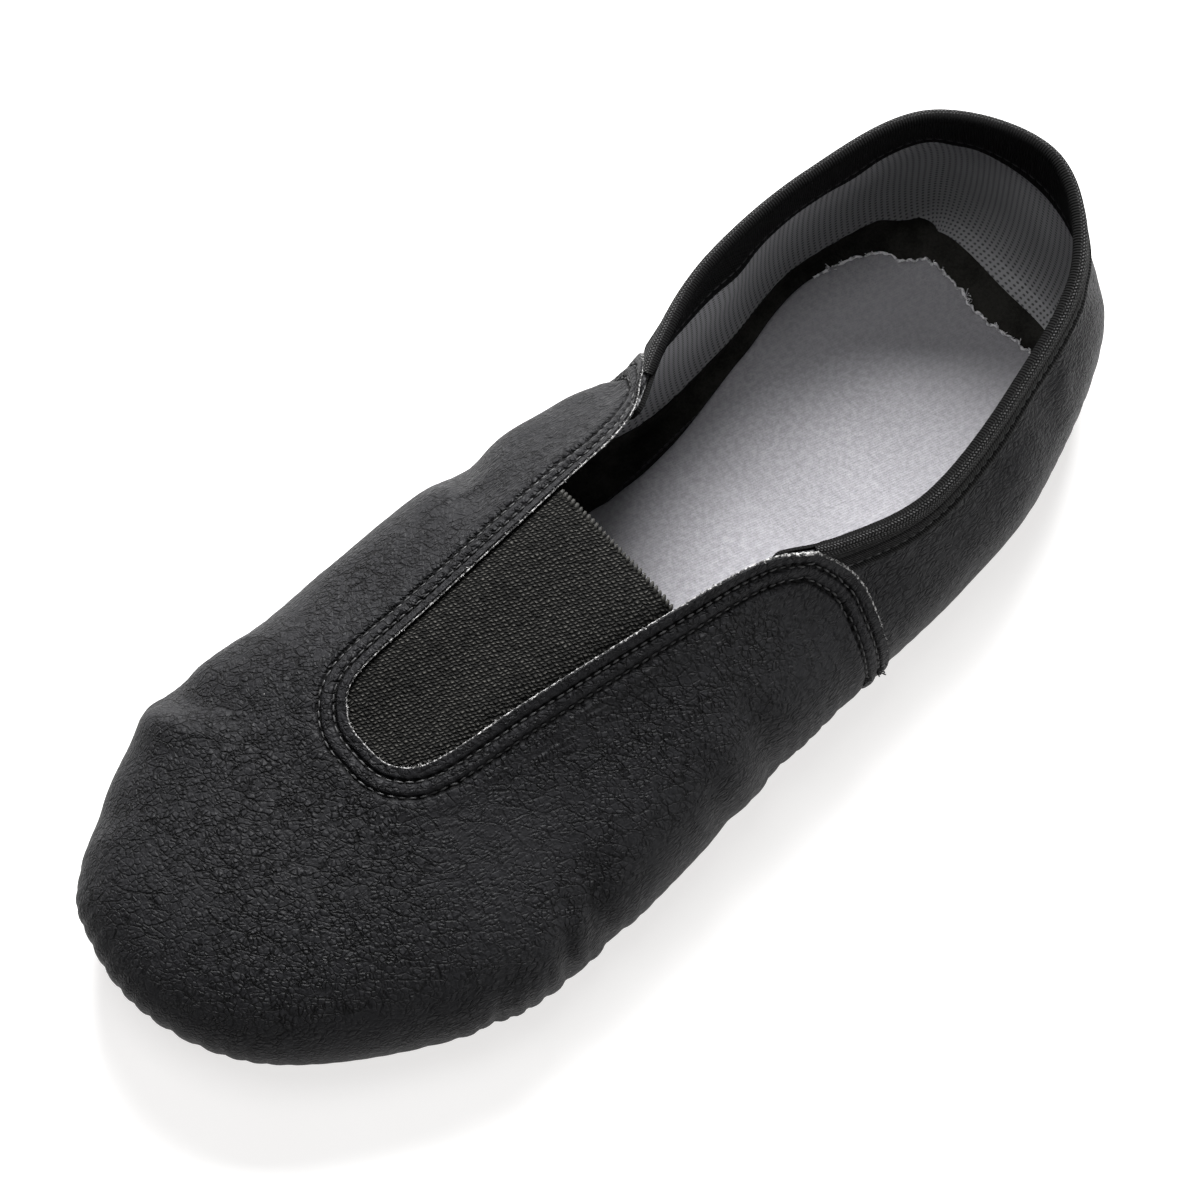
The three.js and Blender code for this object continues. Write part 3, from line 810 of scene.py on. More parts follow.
cut_ahead = unit(np.gradient(cut_line, axis=0))
cut_away = unit(np.cross(cut_out, cut_ahead))
fuzz_pick = np.arange(0, len(cut_line), 3)
fuzz_run = cut_fine[fuzz_pick] - throat_tip
wing_side = smooth(np.abs(fuzz_run), 0.118, 0.150)
over_wing = smooth(fuzz_run, 0.085, 0.105) * (1 - smooth(fuzz_run, 0.128, 0.142))
fuzz_radius = FUZZ_RADIUS * (1 + 2.4 * over_wing) * (1 - 0.85 * wing_side)
fuzz_radius = fuzz_radius * (1 + 0.5 * wobble(fuzz_run, 3, 0.0011, 0.0017, 0.0007, 0.0043))
fuzz_off = 0.00006 + 0.00008 * wobble(fuzz_run, 4, 0.0013, 0.0021, 0.0006)
fuzz_path = cut_line[fuzz_pick] + cut_away[fuzz_pick] * fuzz_off[:, None] - cut_out[fuzz_pick] * FUZZ_BELOW
raw_edge = joined("raw_edge", [rope(fuzz_path, np.maximum(fuzz_radius, FUZZ_LEAST))])
SPLIT = split_finish()
raw_edge.data.materials.append(SPLIT)
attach(raw_edge, "root")


# Sewn rows
# Two rows of black thread hold the vamp down on the elastic, the lining and the quarter. Each
# stitch is pulled into the leather. Where the rows stop at the foot of a wing, the ends are
# cut off loose.
WING_FOOT = 0.016


def sewing_tree():
    """Lays one small shape on each point of a mesh, turned by its attributes along and out."""
    tree = bpy.data.node_groups.new("sewing", "GeometryNodeTree")
    sockets = [
        ("Points", "Geometry"), ("Length", "Float"), ("Width", "Float"), ("Height", "Float"),
        ("Unevenness", "Float"), ("Seed", "Int"), ("Finish", "Material"),
    ]
    for name, kind in sockets:
        tree.interface.new_socket(name, in_out="INPUT", socket_type="NodeSocket" + kind)
    tree.interface.new_socket("Sewn", in_out="OUTPUT", socket_type="NodeSocketGeometry")
    group = tree.nodes.new("NodeGroupInput")
    given = {name: Wire(tree, group.outputs[name]) for name, _ in sockets}

    def node(*parts):
        return add_node(tree, *parts)

    ball = node("GeometryNodeMeshUVSphere", {}, {"Segments": 7, "Rings": 5, "Radius": 0.5})
    sizes = {"X": given["Length"], "Y": given["Width"], "Z": given["Height"]}
    sizes = node("ShaderNodeCombineXYZ", {}, sizes)
    shaped = node("GeometryNodeTransform", {}, {"Geometry": ball, "Scale": sizes})
    stored = [
        node("GeometryNodeInputNamedAttribute", {"data_type": "FLOAT_VECTOR"}, {"Name": name}, "Attribute")
        for name in ("along", "out")
    ]
    axes = {"primary_axis": "X", "secondary_axis": "Z"}
    turn = node("FunctionNodeAxesToRotation", axes, dict(zip(("Primary Axis", "Secondary Axis"), stored)))
    # The random node's sockets 2, 3 and output 1 are those of a plain number.
    spread_out = {2: 1 - given["Unevenness"], 3: given["Unevenness"] + 1, "Seed": given["Seed"]}
    uneven = node("FunctionNodeRandomValue", {"data_type": "FLOAT"}, spread_out, 1)
    laid = {"Points": given["Points"], "Instance": shaped, "Rotation": turn, "Scale": uneven}
    laid = node("GeometryNodeInstanceOnPoints", {}, laid)
    real = node("GeometryNodeRealizeInstances", {}, {"Geometry": laid})
    coated = node("GeometryNodeSetMaterial", {}, {"Geometry": real, "Material": given["Finish"]})
    node("NodeGroupOutput", {}, {"Sewn": coated})
    return tree


SEWING = sewing_tree()


def sewn(name, points, along, out, finish, **sizes):
    """Plain mesh of one small shape laid on each point. sizes: the tree's inputs by name."""
    mesh = bpy.data.meshes.new(name)
    mesh.from_pydata(points.tolist(), [], [])
    for key, values in (("along", along), ("out", out)):
        values = np.ascontiguousarray(np.broadcast_to(values, points.shape), np.float32)
        mesh.attributes.new(key, "FLOAT_VECTOR", "POINT").data.foreach_set("vector", values.ravel())
    seed = put(name, mesh)
    modifier = seed.modifiers.new("sewing", "NODES")
    modifier.node_group = SEWING
    sizes["Finish"] = finish
    for item in SEWING.interface.items_tree:
        if item.in_out == "INPUT" and item.name in sizes:
            modifier[item.identifier] = sizes[item.name]
    bpy.context.view_layer.update()
    shown = bpy.context.evaluated_depsgraph_get()
    made = bpy.data.meshes.new_from_object(seed.evaluated_get(shown))
    seed.modifiers.remove(modifier)
    bpy.data.objects.remove(seed)
    made.name = name
    return dressed(name, made, sharp=80)


def thread_finish():
    thread = Finish("black thread")
    twist = thread.noise(3200.0)
    return thread.surface(
        Base_Color=thread.mix(twist, (0.004, 0.004, 0.004), (0.020, 0.020, 0.021)),
        Roughness=thread.step(twist, 0.3, 0.7, 0.45, 0.75),
        Normal=thread.relief(twist, 0.0001, 0.6),
    )


def grid_tree(points):
    """Search tree over the faces of a grid of points."""
    columns, rows = points.shape[:2]
    index = np.arange(columns * rows).reshape(columns, rows)
    faces = quads(index[:-1, :-1], index[1:, :-1], index[1:, 1:], index[:-1, 1:])
    return BVHTree.FromPolygons(points.reshape(-1, 3).tolist(), faces.tolist())


def settled(tree, points):
    """The nearest points of a surface, and its directions out there."""
    found = [tree.find_nearest(Vector(point)) for point in points]
    return np.array([hit[0] for hit in found]), unit(np.array([hit[1] for hit in found]))


def paced(path, pitch):
    """Points a pitch apart along a path, and the direction ahead at each."""
    run = run_along(path)
    places = np.arange(pitch / 2, run[-1], pitch)
    ahead = sampled(places, run, unit(np.gradient(path, axis=0)))
    return sampled(places, run, path), unit(ahead)


THREAD = thread_finish()
vamp_tree = grid_tree(vamp_face)
sewn_span = np.nonzero(cut_line[:, 2] > WING_FOOT)[0][::8]
row_points, row_ahead, row_out = [], [], []
for row in STITCH_ROWS:
    guide = cut_line[sewn_span] - cut_away[sewn_span] * row
    guide, _ = settled(vamp_tree, guide)
    keep = np.array([cut_tree.find(point)[2] for point in guide]) > row * 0.93
    points, ahead = paced(guide[keep], STITCH_PITCH)
    points, out = settled(vamp_tree, points)
    row_points.append(points + out * 0.00004)
    row_ahead.append(ahead)
    row_out.append(out)
vamp_stitches = sewn(
    "vamp_stitches", np.concatenate(row_points), np.concatenate(row_ahead), np.concatenate(row_out),
    THREAD, Length=0.0018, Width=0.00046, Height=0.0004, Unevenness=0.1, Seed=11,
)
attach(vamp_stitches, "root")


def strand(start, ahead, length, curl, seed, steps=12):
    """Path of a loose thread that wanders off from a start."""
    drift = np.cumsum(np.random.default_rng(seed).normal(size=(steps, 3)), 0) * curl / math.sqrt(steps)
    return np.concatenate([[start], start + np.cumsum(unit(ahead + drift), 0) * length / steps])


# The loose ends stick out in a small knot where each row stops.
TUFT_THREADS = 11
TUFT_LENGTH = 0.0026
TUFT_RADIUS = 0.00015
tufts = []
for number, (points, out) in enumerate(zip(row_points, row_out)):
    for side, end in enumerate((0, -1)):
        pick = np.random.default_rng(40 + 2 * number + side)
        for count in range(TUFT_THREADS):
            ahead = unit(out[end] * 0.8 + [0, 0, -0.3] + pick.normal(size=3) * 0.6)
            start = points[end] + pick.normal(size=3) * 0.0003
            seed = 60 + 30 * number + 15 * side + count
            path = strand(start, ahead, TUFT_LENGTH * pick.uniform(0.35, 1.0), 3.2, seed)
            tufts.append(rope(path, TUFT_RADIUS, sides=5))
thread_tufts = joined("thread_tufts", tufts)
thread_tufts.data.materials.append(THREAD)
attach(thread_tufts, "root")


# Short fibres of the split stand off the cut edge.
FIBRES = 1500
fibre_pick = np.random.default_rng(77)
fibre_at = np.sort(fibre_pick.integers(0, len(cut_line), FIBRES))
fibre_run = cut_fine[fibre_at] - throat_tip
fibre_share = 0.45 + 0.55 * smooth(fibre_run, 0.080, 0.105)
fibre_share = fibre_share - 0.85 * smooth(np.abs(fibre_run), 0.126, 0.145)
fibre_at = fibre_at[fibre_pick.uniform(size=len(fibre_at)) < fibre_share]
fibre_stray = fibre_pick.normal(size=(len(fibre_at), 3)) * 0.9
fibre_ahead = unit(cut_away[fibre_at] + 0.5 * cut_out[fibre_at] + fibre_stray)
edge_fibres = sewn(
    "edge_fibres", cut_line[fibre_at] - cut_out[fibre_at] * 0.0004 + fibre_ahead * 0.0002, fibre_ahead,
    cut_out[fibre_at], SPLIT, Length=0.00085, Width=0.00011, Height=0.00011, Unevenness=0.5, Seed=23,
)
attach(edge_fibres, "root")


# Lining
# Grey knitted mesh, its open holes in upright rows, glued to the inside of the leather all
# round the shoe and turned in with it under the foot.
LINING_TOP = 0.0014
WALL = 0.0014
KNIT_RIB = 0.0014
KNIT_COURSE = 0.00095


def knit_finish():
    knit = Finish("grey knitted mesh")
    run, down = knit.chart()
    sway = knit.noise(120.0) * 0.5
    hole = knit.step(ripple(run, KNIT_RIB, sway) * ripple(down, KNIT_COURSE, sway), 0.30, 0.78)
    yarn = knit.noise(2400.0, 2.0, 0.6)
    shade = knit.mix(knit.noise(55.0, 3.0), (0.235, 0.235, 0.242), (0.35, 0.35, 0.36))
    return knit.surface(
        Base_Color=knit.mix(hole * 0.8, shade, (0.030, 0.030, 0.031)),
        Roughness=0.92,
        Normal=knit.relief((1 - hole) * 0.8 + yarn * 0.35, 0.0004, 0.8),
    )


lining_columns = spread(0, ROUND, 0.0016)[:-1]
lining_turn = round_back(lining_columns)
lining_top = np.where(np.abs(lining_turn) < WING, LINING_TOP, 0.0004)
lining_high = np.array([climb_below([a], [top])[0, 0] for a, top in zip(lining_columns, lining_top)])
lining_share = np.concatenate([np.linspace(-0.9, 0, 13)[:-1], np.linspace(0, 1, 38)])
lining_climb = np.where(lining_share >= 0, lining_share * lining_high[:, None], lining_share)
lining_at = wing_lean(lining_turn[:, None], lining_climb)
lining_face = skin(lining_at, lining_climb, LEATHER + 0.00005)
lining_back = skin(lining_at, lining_climb, WALL + 0 * lining_climb)
lining_drop = np.array([run_along(column[::-1])[::-1] for column in lining_back])
lining_run = waist_run(lining_columns)[:, None] + 0 * lining_drop
lining_chart = np.stack([lining_run, lining_drop], -1)
lining = layer("knit_lining", lining_face, lining_back, around=True, chart=lining_chart)
lining.data.materials.append(knit_finish())
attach(lining, "root")
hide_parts("upper")


# Collar binding
# Ribbed black tape folded over the top of the quarter. Its fold makes a beaded roll, a row of
# stitches runs along each leg, and both ends are tucked inside the wings.
TAPE_THICK = 0.0006
TAPE_OUT = 0.007
TAPE_IN = 0.013
TAPE_TAIL = 0.011
TAPE_JOIN = 0.008
TAIL_SHARE = 0.95
TAPE_FOLD = 0.0046
TAPE_BEND = 0.00146
TAPE_GAP = 0.00012
TAPE_LANE = 0.00062
TAPE_BEAD = 0.00070
TAPE_RIB = 0.00058
TAPE_SEAMS = (0.0014, 0.0228)
TAPE_STITCH_PITCH = 0.0021
TAPE_PINCH = 0.0022


def tape_finish():
    tape = Finish("ribbed black tape")
    run, across = tape.chart()
    lane = across / TAPE_LANE
    side = (lane.whole() * 0.5).rest() * 4.0 - 1.0
    slant = run / TAPE_BEAD + (lane.rest() - 0.5) * side * 0.45 + lane.whole() * 0.5
    crest = (lane.rest() * math.pi).wave()
    weave = (ripple(slant, 1) * crest) ** 1.5
    fuzz = tape.noise(2800.0, 2.0, 0.6)
    # Random patches in how light the painted crests of the ribs and beads are.
    wear_and_glint_patches = tape.step(tape.noise(1100.0), 0.30, 0.60, 0.45, 1.0)
    rolled = tape.step((across - 0.0074).size(), 0.0018, 0.0012)
    ribs = ripple(run, TAPE_RIB, fuzz)
    # Painted light and shade: the outer leg of the tape is painted ten times lighter than the inner leg,
    # which lies in shade inside the shoe.
    outside = tape.step(across, 0.0100, 0.0060)
    painted_leg_light_and_shade = tape.mix(outside, (0.0024, 0.0024, 0.0025), (0.0240, 0.0240, 0.0240))
    # Painted highlight and shade: each rib is painted at the leg's tone on its crest and near black between
    # ribs, and each bead of the roll light grey on its top and near black between beads.
    tone = tape.mix((ribs ** 1.6) * wear_and_glint_patches, (0.0006, 0.0006, 0.0006), painted_leg_light_and_shade)
    painted_bead_highlights = tape.mix(weave * wear_and_glint_patches, (0.0008, 0.0008, 0.0008), (0.110, 0.110, 0.110))
    tone = tape.mix(rolled, tone, painted_bead_highlights)
    return tape.surface(
        Base_Color=tone,
        Roughness=0.85,
        Normal=tape.relief(weave * rolled + ribs * (1 - rolled) * 0.45 + fuzz * 0.3, 0.00040, 0.95),
        Specular_IOR_Level=0.12,
    )


def tape_path(a, rise):
    """Cross section of the folded tape, and the run along it. rise: offset from the quarter for
    a run along the section."""
    legs_out = np.linspace(TAPE_OUT, 0, 22)
    legs_in = np.linspace(0, TAPE_IN, 20)
    fold = np.linspace(0, np.pi, 14)[1:-1]
    climb_out = climb_below(a, legs_out[::-1])[:, ::-1]
    climb_in = climb_below(a, legs_in)
    turned = round_back(a)[:, None]
    count_out, count_fold = len(legs_out), len(fold)
    path = np.concatenate([TAPE_OUT - legs_out, TAPE_OUT + fold * TAPE_BEND, TAPE_OUT + TAPE_FOLD + legs_in])
    offset = rise(path)
    at_out = wing_lean(turned, climb_out)
    at_in = wing_lean(turned, climb_in)
    top_at = wing_lean(turned[:, 0], 1.0)
    top = skin(top_at, 1.0 + 0 * top_at, WALL / 2)
    out = outward(top_at, 1.0)
    up = unit(last_point(top_at, 1.0) - last_point(top_at, 0.997))
    radius = WALL / 2 + offset[count_out:count_out + count_fold]
    arc = (
        top[:, None] + out[:, None] * (np.cos(fold) * radius)[None, :, None]
        + up[:, None] * (np.sin(fold) * radius)[None, :, None]
    )
    leg_out = skin(at_out, climb_out, -offset[:count_out])
    leg_in = skin(at_in, climb_in, WALL + offset[count_out + count_fold:])
    return np.concatenate([leg_out, arc, leg_in], 1), path


def tape_face(path):
    """Height of the tape's face above the quarter along its section."""
    selvedge = 0.00022 * bell(path, 0.0005, 0.0005)
    seams = -0.00035 * bell(path, TAPE_SEAMS[0], 0.00032) - 0.00025 * bell(path, TAPE_SEAMS[1], 0.00035)
    groove = -0.00038 * bell(path, 0.0041, 0.00035)
    ridge = 0.00018 * bell(path, 0.0053, 0.0007)
    return 0.00078 + selvedge + seams + groove + ridge


tape_start = WING + 0.012
tape_columns = spread(tape_start, ROUND - tape_start, 0.0006, climb=1.0)
face, tape_across = tape_path(tape_columns, tape_face)
back, _ = tape_path(tape_columns, lambda path: TAPE_GAP + 0 * path)
tape_run = run_along(face[:, 28])
tape_chart = np.stack(np.broadcast_arrays(tape_run[:, None], tape_across[None]), -1)
# Each end of the roll is pinched flat before it stops.
pinch = np.sqrt(np.clip(np.minimum(tape_run, tape_run[-1] - tape_run) / TAPE_PINCH, 0.12, 1))
face = back + (face - back) * pinch[:, None, None]
collar_binding = layer("folded_tape", face, back, chart=tape_chart)
TAPE = tape_finish()
collar_binding.data.materials.append(TAPE)
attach(collar_binding, "root")
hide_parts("collar_binding")


def tape_tail(name, side):
    """End of the tape, one layer against the lining inside a wing, its end cut round."""
    section = np.linalg.norm(last_point(WING, 1.0) - last_point(WING - 1, 1.0))
    free = WING - WING_ROUND - TAPE_TAIL / section
    a = side * np.linspace(free, WING + TAPE_JOIN / section, 46)
    if side < 0:
        a = a[::-1]
    along = np.abs(a) - free
    short = np.sqrt(np.clip(1 - np.clip(1 - along * section / 0.0045, 0, 1) ** 2, 0.03, 1))
    climb = []
    for place, share in zip(a, short):
        middle = TAIL_SHARE * TAPE_IN / 2
        climb.append(climb_below([place], middle + middle * share * np.linspace(-1, 1, 14))[0, ::-1])
    climb = np.array(climb)
    at = np.broadcast_to(a[:, None], climb.shape)
    face = skin(at, climb, WALL + 0.0001)
    back = skin(at, climb, WALL + CLEARANCE + TAPE_THICK + 0 * climb)
    run = run_along(back[:, 7])
    chart = np.stack([run[:, None] + 0 * climb, 0.0112 + run_along(back[20])[None] + 0 * climb], -1)
    tail = layer(name, face, back, chart=chart)
    tail.data.materials.append(TAPE)
    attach(tail, "root")
    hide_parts("collar_binding")


tape_tail("outer_tape_end", 1)
tape_tail("inner_tape_end", -1)

tape_tree = grid_tree(face)
tape_rows = []
for seam in TAPE_SEAMS:
    points, ahead = paced(face[:, np.argmin(np.abs(tape_across - seam))], TAPE_STITCH_PITCH)
    points, out = settled(tape_tree, points)
    tape_rows.append((points, ahead, out))
tape_stitches = sewn(
    "tape_stitches", *(np.concatenate(part) for part in zip(*tape_rows)), THREAD,
    Length=0.0018, Width=0.0004, Height=0.0003, Unevenness=0.1, Seed=5,
)
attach(tape_stitches, "root")


# Elastic gusset
# Wide black webbing with rubber cores, sewn under the edge of the throat. Its beaded selvedge
# is the free edge across the instep.
THROAT = 4
ELASTIC_THICK = 0.0012
ELASTIC_LAP = 0.008
ELASTIC_CROWN = 0.0025
ELASTIC_TIP = 0.008
ELASTIC_EASE = 0.2
ELASTIC_DROOP = 0.6
ELASTIC_RIB = 0.00088
ELASTIC_YARN = 0.00080
SELVEDGE_PITCH = 0.00115


def webbing_finish():
    web = Finish("black elastic webbing")
    sway = (web.noise(130.0) - 0.5) * 0.00035 + (web.noise(620.0, 1.0) - 0.5) * 0.00075
    rib = (web.axis(web.here, "X") + sway) / ELASTIC_RIB
    dash = (web.axis(web.here, "Y") + sway) / ELASTIC_YARN + rib.rest() * 0.55 + rib.whole() * 0.5
    yarn = ripple(dash, 1) * (rib.rest() * math.pi).wave()
    fibre = web.noise(3000.0, 2.0, 0.6)
    wear_and_glint_patches = web.step(web.noise(900.0), 0.34, 0.62, 0.16, 1.0)
    # Painted highlight and shade: each yarn is painted light on its crest and near black in the gaps between
    # yarns, in random patches.
    tone = web.mix((yarn ** 2.0) * wear_and_glint_patches, (0.0005, 0.0005, 0.0004), (0.084, 0.0815, 0.0745))
    return web.surface(
        Base_Color=web.mix(web.noise(60.0) * 0.15, tone, (0.004, 0.0038, 0.0034)),
        Roughness=0.80,
        Normal=web.relief(yarn + fibre * 0.25, 0.00050, 1.0),
        Specular_IOR_Level=0.12,
    )


elastic_columns = np.linspace(-THROAT, THROAT, 241)
throat = ray_at(elastic_columns)
free_x = ray_at(THROAT)[2]
tip_x = ray_at(0)[2]
forward = (throat[:, 2] - free_x) / (tip_x - free_x)
under_lengths = np.linspace(ELASTIC_LAP, 0, 8)
under_climb = climb_below(elastic_columns, under_lengths[::-1])[:, ::-1]
under_at = np.broadcast_to(elastic_columns[:, None], under_climb.shape)
elastic_depth = WALL + 0.00008
sewn_edge = skin(elastic_columns, 1.0 + 0 * elastic_columns, elastic_depth)
spine = (sewn_edge + sewn_edge[::-1]) / 2
spine[:, 0] = free_x + (tip_x - ELASTIC_TIP - free_x) * forward - HEEL_TO_MIDDLE[0]
spine[:, 2] += ELASTIC_CROWN * (1 - ELASTIC_DROOP * forward**2)
edge_up = unit(last_point(elastic_columns, 1.0) - last_point(elastic_columns, 0.998))
reach = np.linalg.norm(sewn_edge - spine, axis=1, keepdims=True)
level_in = np.concatenate([sewn_edge[:, :2], spine[:, 2:]], 1)
handles = [sewn_edge, sewn_edge + edge_up * ELASTIC_EASE * reach, (spine + level_in) / 2, spine]
u = np.linspace(0, 1, 26)[1:, None, None]
over = np.moveaxis(sum(weight * handle[None] for weight, handle in zip(cubic(u), handles)), 0, 1)
# Its height is evened out away from the sewn edge, so that the web lies without a ridge.
flat_x = over[..., 0].ravel() / 0.05
flat_y = over[..., 1].ravel() / 0.02
terms = np.stack([flat_x**i * flat_y**j for i in range(6) for j in range(6 - i)], 1)
even = (terms @ np.linalg.lstsq(terms, over[..., 2].ravel(), rcond=None)[0]).reshape(over.shape[:2])
over[..., 2] += (even - over[..., 2]) * smooth(u[:, 0, 0], 0.0, 0.55)[None]
elastic_face = np.concatenate([skin(under_at, under_climb, elastic_depth), over], 1)
down = np.array([0, 0, -ELASTIC_THICK])
elastic_back = np.concatenate([skin(under_at, under_climb, elastic_depth + ELASTIC_THICK), over + down], 1)
elastic = layer("elastic_webbing", elastic_face, elastic_back, zipped=True)
elastic.data.materials.append(webbing_finish())
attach(elastic, "root")
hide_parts("elastic_gusset")


def bead_finish():
    bead = Finish("turned yarns of the selvedge")
    fibre = bead.noise(2200.0, 2.0, 0.6)
    return bead.surface(
        Base_Color=bead.mix(fibre, (0.004, 0.004, 0.0035), (0.040, 0.039, 0.035)),
        Roughness=0.65,
        Normal=bead.relief(fibre, 0.0002, 0.8),
        Specular_IOR_Level=0.25,
    )


selvedge = np.concatenate([elastic_face[0, 8:], elastic_face[-1, 8:-1][::-1]])
selvedge_points, selvedge_ahead = paced(selvedge + down * 0.4, SELVEDGE_PITCH)
selvedge_ahead = unit(selvedge_ahead * 0.5 + [0.9, 0, 0])
elastic_selvedge = sewn(
    "elastic_selvedge", selvedge_points, selvedge_ahead, np.array([0, 0, 1.0]), bead_finish(),
    Length=0.0019, Width=0.00098, Height=0.0017, Unevenness=0.08, Seed=3,
)
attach(elastic_selvedge, "root")


# Insole board
# Dark felted board laid into the well of the upper, with a felt cover that shows round the
# heel behind the sock; up the foot of the wall the cover's dark felt is painted shade. A seam
# is sewn along its inner side.
def felt_finish():
    felt = Finish("dark felted board")
    fibre = felt.noise(1500.0, 4.0, 0.7)
    patch = felt.noise(110.0, 3.0, 0.6)
    blotch = felt.step(patch * 0.6 + fibre * 0.4, 0.35, 0.65)
    return felt.surface(
        Base_Color=felt.mix(blotch, (0.006, 0.0057, 0.0048), (0.027, 0.0262, 0.0232)),
        Roughness=0.95,
        Normal=felt.relief(fibre * 0.8 + patch * 0.4, 0.0005, 0.8),
        Specular_IOR_Level=0.2,
    )


BOARD_PROFILE = [
    (0.0, 0.0035, 0.0025), (0.0003, 0.0037, 0.0023), (0.0012, 0.0037, 0.0023), (0.0030, 0.0037, 0.0023),
]
FELT_COVER = 0.0003
COVER_GAP = 0.00004
FELT = felt_finish()
insole = bed("felt_board", MARGIN_REACH + 0.001, BOARD_PROFILE, 360)
insole.data.materials.append(FELT)
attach(insole, "root")
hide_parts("insole")

# The cover climbs the foot of the wall at the sides and stops short of it at the heel. That climbing
# part is painted shade: a dark sheet laid over the lining where shade lies at the foot of the wall.
cover_at = np.linspace(0, ROUND, 480, endpoint=False)
painted_shade_top = np.interp(cover_at, [0, 8.3, 9.0, 10.9, 11.45, 20], [-0.36, -0.36, -0.84, -0.84, -0.36, -0.36])
cover_climb = painted_shade_top[:, None] + (-0.97 - painted_shade_top[:, None]) * np.linspace(0, 1, 14)
cover_turn = np.broadcast_to(cover_at[:, None], cover_climb.shape)
cover_low = skin(cover_turn, cover_climb, WALL + COVER_GAP + 0 * cover_climb)
cover_high = skin(cover_turn, cover_climb, WALL + FELT_COVER + COVER_GAP + 0 * cover_climb)
flat_low = on_sole(plan_rows(cover_at, [0.0125]), SOLE_THICK + CLEARANCE + WALL + COVER_GAP)
flat_high = flat_low + [0, 0, FELT_COVER]
cover_face = np.concatenate([cover_high, flat_high], 1)
cover = layer("felt_cover_with_painted_wall_shade", cover_face, np.concatenate([cover_low, flat_low], 1), around=True, zipped=True)
cover.data.materials.append(FELT)
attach(cover, "root")
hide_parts("insole")

cover_tree = grid_tree(cover_face)
SEAM_LINE = [
    (-0.0180, -0.0243), (-0.0300, -0.0252), (-0.0413, -0.0263), (-0.0530, -0.0273), (-0.0643, -0.0283),
    (-0.0760, -0.0290), (-0.0860, -0.0285),
]
SEAM_PITCH = 0.0017
seam_guide = np.array([[x, y, 0.006] for x, y in SEAM_LINE])
seam_points, seam_ahead = paced(settled(cover_tree, seam_guide)[0], SEAM_PITCH)
seam_points, seam_out = settled(cover_tree, seam_points)
felt_seam = sewn(
    "felt_seam", seam_points + seam_out * 0.0001, seam_ahead, seam_out, THREAD,
    Length=0.0019, Width=0.0006, Height=0.0005, Unevenness=0.15, Seed=19,
)
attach(felt_seam, "root")


# Sock lining
# Light grey brushed fleece with a fine twill back, glued in over the insole and torn off short
# of the heel, where its threads fray.
TWILL = 0.00052
# Inset of the sock's edge from the widest line at places round the shoe, in millimetres: it is
# straight across the heel and straight along the arch.
SOCK_EDGE = np.array([
    [0, 8.0], [7.9, 8.0], [8.4, 9.5], [8.9, 12.0], [9.4, 15.6], [9.8, 16.4], [10.3, 16.8], [11.0, 16.2],
    [11.34, 14.2], [11.5, 10.0], [11.7, 7.8], [12.0, 7.0], [12.6, 6.8], [13.05, 7.5], [13.4, 8.6],
    [13.7, 9.8], [14.0, 11.2], [14.3, 13.4], [14.75, 16.5], [15.3, 17.5], [16.2, 15.0], [17.2, 10.5],
    [18.2, 8.0], [20, 8.0],
])


def sock_inset(a):
    """How far in from the widest line the sock's edge lies, torn unevenly at the heel."""
    fine = np.linspace(0, ROUND, 4001)
    plain = np.interp(fine, *SOCK_EDGE.T) * 0.001
    kernel = np.hanning(61) / np.hanning(61).sum()
    plain = np.convolve(np.pad(plain, 30, mode="wrap"), kernel, mode="valid")
    uneven = wobble(waist_run(a), 21, 0.0071, 0.0113, 0.0047, 0.0029, 0.019)
    torn = smooth(np.abs(a - 10.1), 2.0, 1.2) * uneven
    return np.interp(a, fine, plain) + 0.0009 * torn


def fleece_finish():
    fleece = Finish("light grey fleece")
    slant = fleece.axis(fleece.here, "X") * 0.26 + fleece.axis(fleece.here, "Y") * 0.97
    twill = ripple(slant, TWILL, fleece.noise(300.0) * 1.2)
    pile = fleece.noise(1500.0, 4.0, 0.75)
    mottle = fleece.noise(800.0, 3.0, 0.65)
    flecks = fleece.step(mottle * 0.6 + pile * 0.4, 0.36, 0.64)
    broad = fleece.step(fleece.noise(26.0), 0.35, 0.65)
    tone = fleece.mix(flecks, (0.255, 0.251, 0.268), (0.357, 0.351, 0.372))
    tone = fleece.mix(broad * 0.3, tone, (0.196, 0.193, 0.205))
    return fleece.surface(
        Base_Color=fleece.mix(twill * 0.12, tone, (0.149, 0.149, 0.157)),
        Roughness=0.95,
        Normal=fleece.relief(pile * 0.6 + twill * 0.10 + mottle * 0.6, 0.0005, 0.7),
    )


SOCK_PROFILE = [
    (0.0, 0.0045, 0.00425), (0.0004, 0.0049, 0.00415), (0.0012, 0.0051, 0.00412), (0.0030, 0.0051, 0.00412),
]
sock = bed("fleece_sock", sock_inset, SOCK_PROFILE, 600)
sock.data.materials.append(fleece_finish())
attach(sock, "root")
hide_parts("sock_lining")


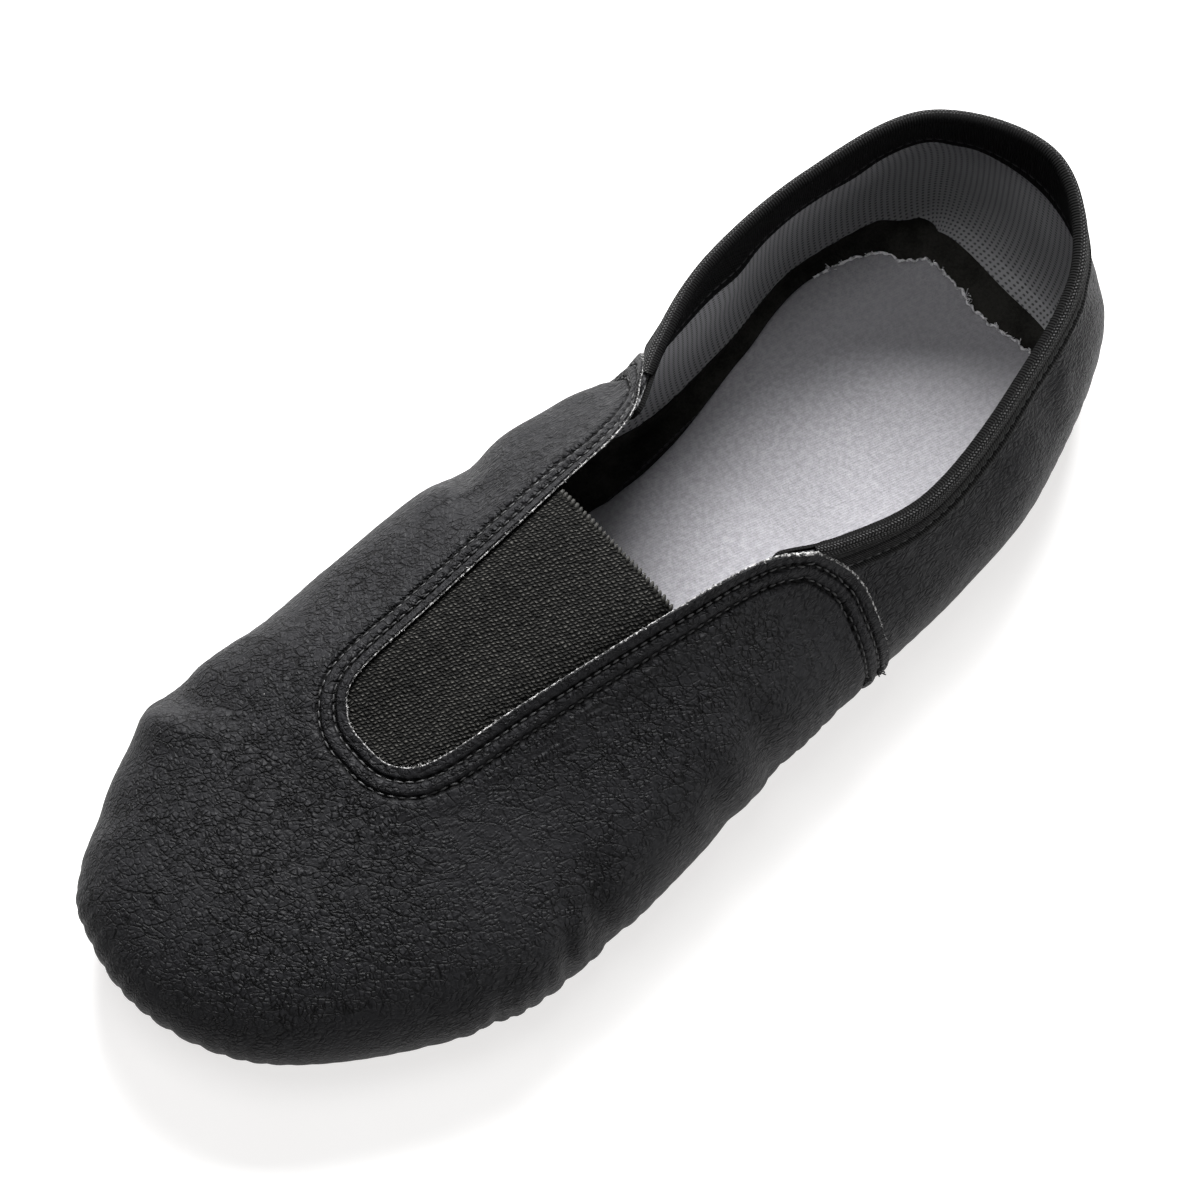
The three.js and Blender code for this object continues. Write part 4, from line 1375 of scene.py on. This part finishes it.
def torn_finish():
    torn = Finish("torn edge of the fleece")
    wisp = torn.noise(900.0, 3.0, 0.7)
    return torn.surface(
        Base_Color=torn.mix(torn.step(wisp, 0.35, 0.6), (0.26, 0.26, 0.27), (0.80, 0.79, 0.81)),
        Roughness=0.95,
        Normal=torn.relief(wisp, 0.0004, 0.8),
    )


# The tear leaves a pale uneven lip round the heel, with short fibres and a few long frayed ends.
LIP_FROM, LIP_TO = 8.35, 12.0
LIP_RADIUS = 0.00026
LIP_LEVEL = 0.0050
FRAYS = 70
FRAYED = [(-87.3, -29.7), (-103.5, -16.6), (-105.3, -9.2), (-106.3, 10.8), (-105.0, 17.0)]
lip_round = np.linspace(0, ROUND, 3000, endpoint=False)
lip_plan = plan_rows(lip_round, [sock_inset(lip_round) + 0.00015])[:, 0]
lip_plan = lip_plan[(lip_round > LIP_FROM) & (lip_round < LIP_TO)]
lip = on_sole(lip_plan, LIP_LEVEL)
lip_run = run_along(lip)
lip[:, 2] += 0.00012 * wobble(lip_run, 31, 0.0012, 0.0021, 0.0008)
lip_radius = LIP_RADIUS * (1 + 0.9 * wobble(lip_run, 32, 0.0019, 0.0033, 0.0011, 0.0061))
lip_ahead = unit(np.gradient(lip, axis=0))
lip_away = unit(np.cross(lip_ahead, [0, 0, 1.0]))
torn = [rope(lip[::2], np.maximum(lip_radius[::2], 0.00006))]
fray_pick = np.random.default_rng(51)
fray_spots = list(fray_pick.integers(0, len(lip), FRAYS))
for x, y in FRAYED:
    nearest = int(np.argmin(np.hypot(lip[:, 0] - x * 0.001, lip[:, 1] - y * 0.001)))
    fray_spots += list(np.clip(nearest + fray_pick.integers(-6, 7, 5), 0, len(lip) - 1))
for count, spot in enumerate(fray_spots):
    long = 0.0010 if count < FRAYS else 0.0024
    ahead = unit(lip_away[spot] + fray_pick.normal(size=3) * [0.7, 0.7, 0.25] + [0, 0, 0.15])
    path = strand(lip[spot], ahead, long * fray_pick.uniform(0.5, 1.1), 2.2, 400 + count, steps=9)
    path[:, 2] = np.maximum(path[:, 2], lip[spot, 2] - 0.0006)
    torn.append(rope(path, 0.00008, sides=4))
torn_edge = joined("torn_edge", torn)
torn_edge.data.materials.append(torn_finish())
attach(torn_edge, "root")
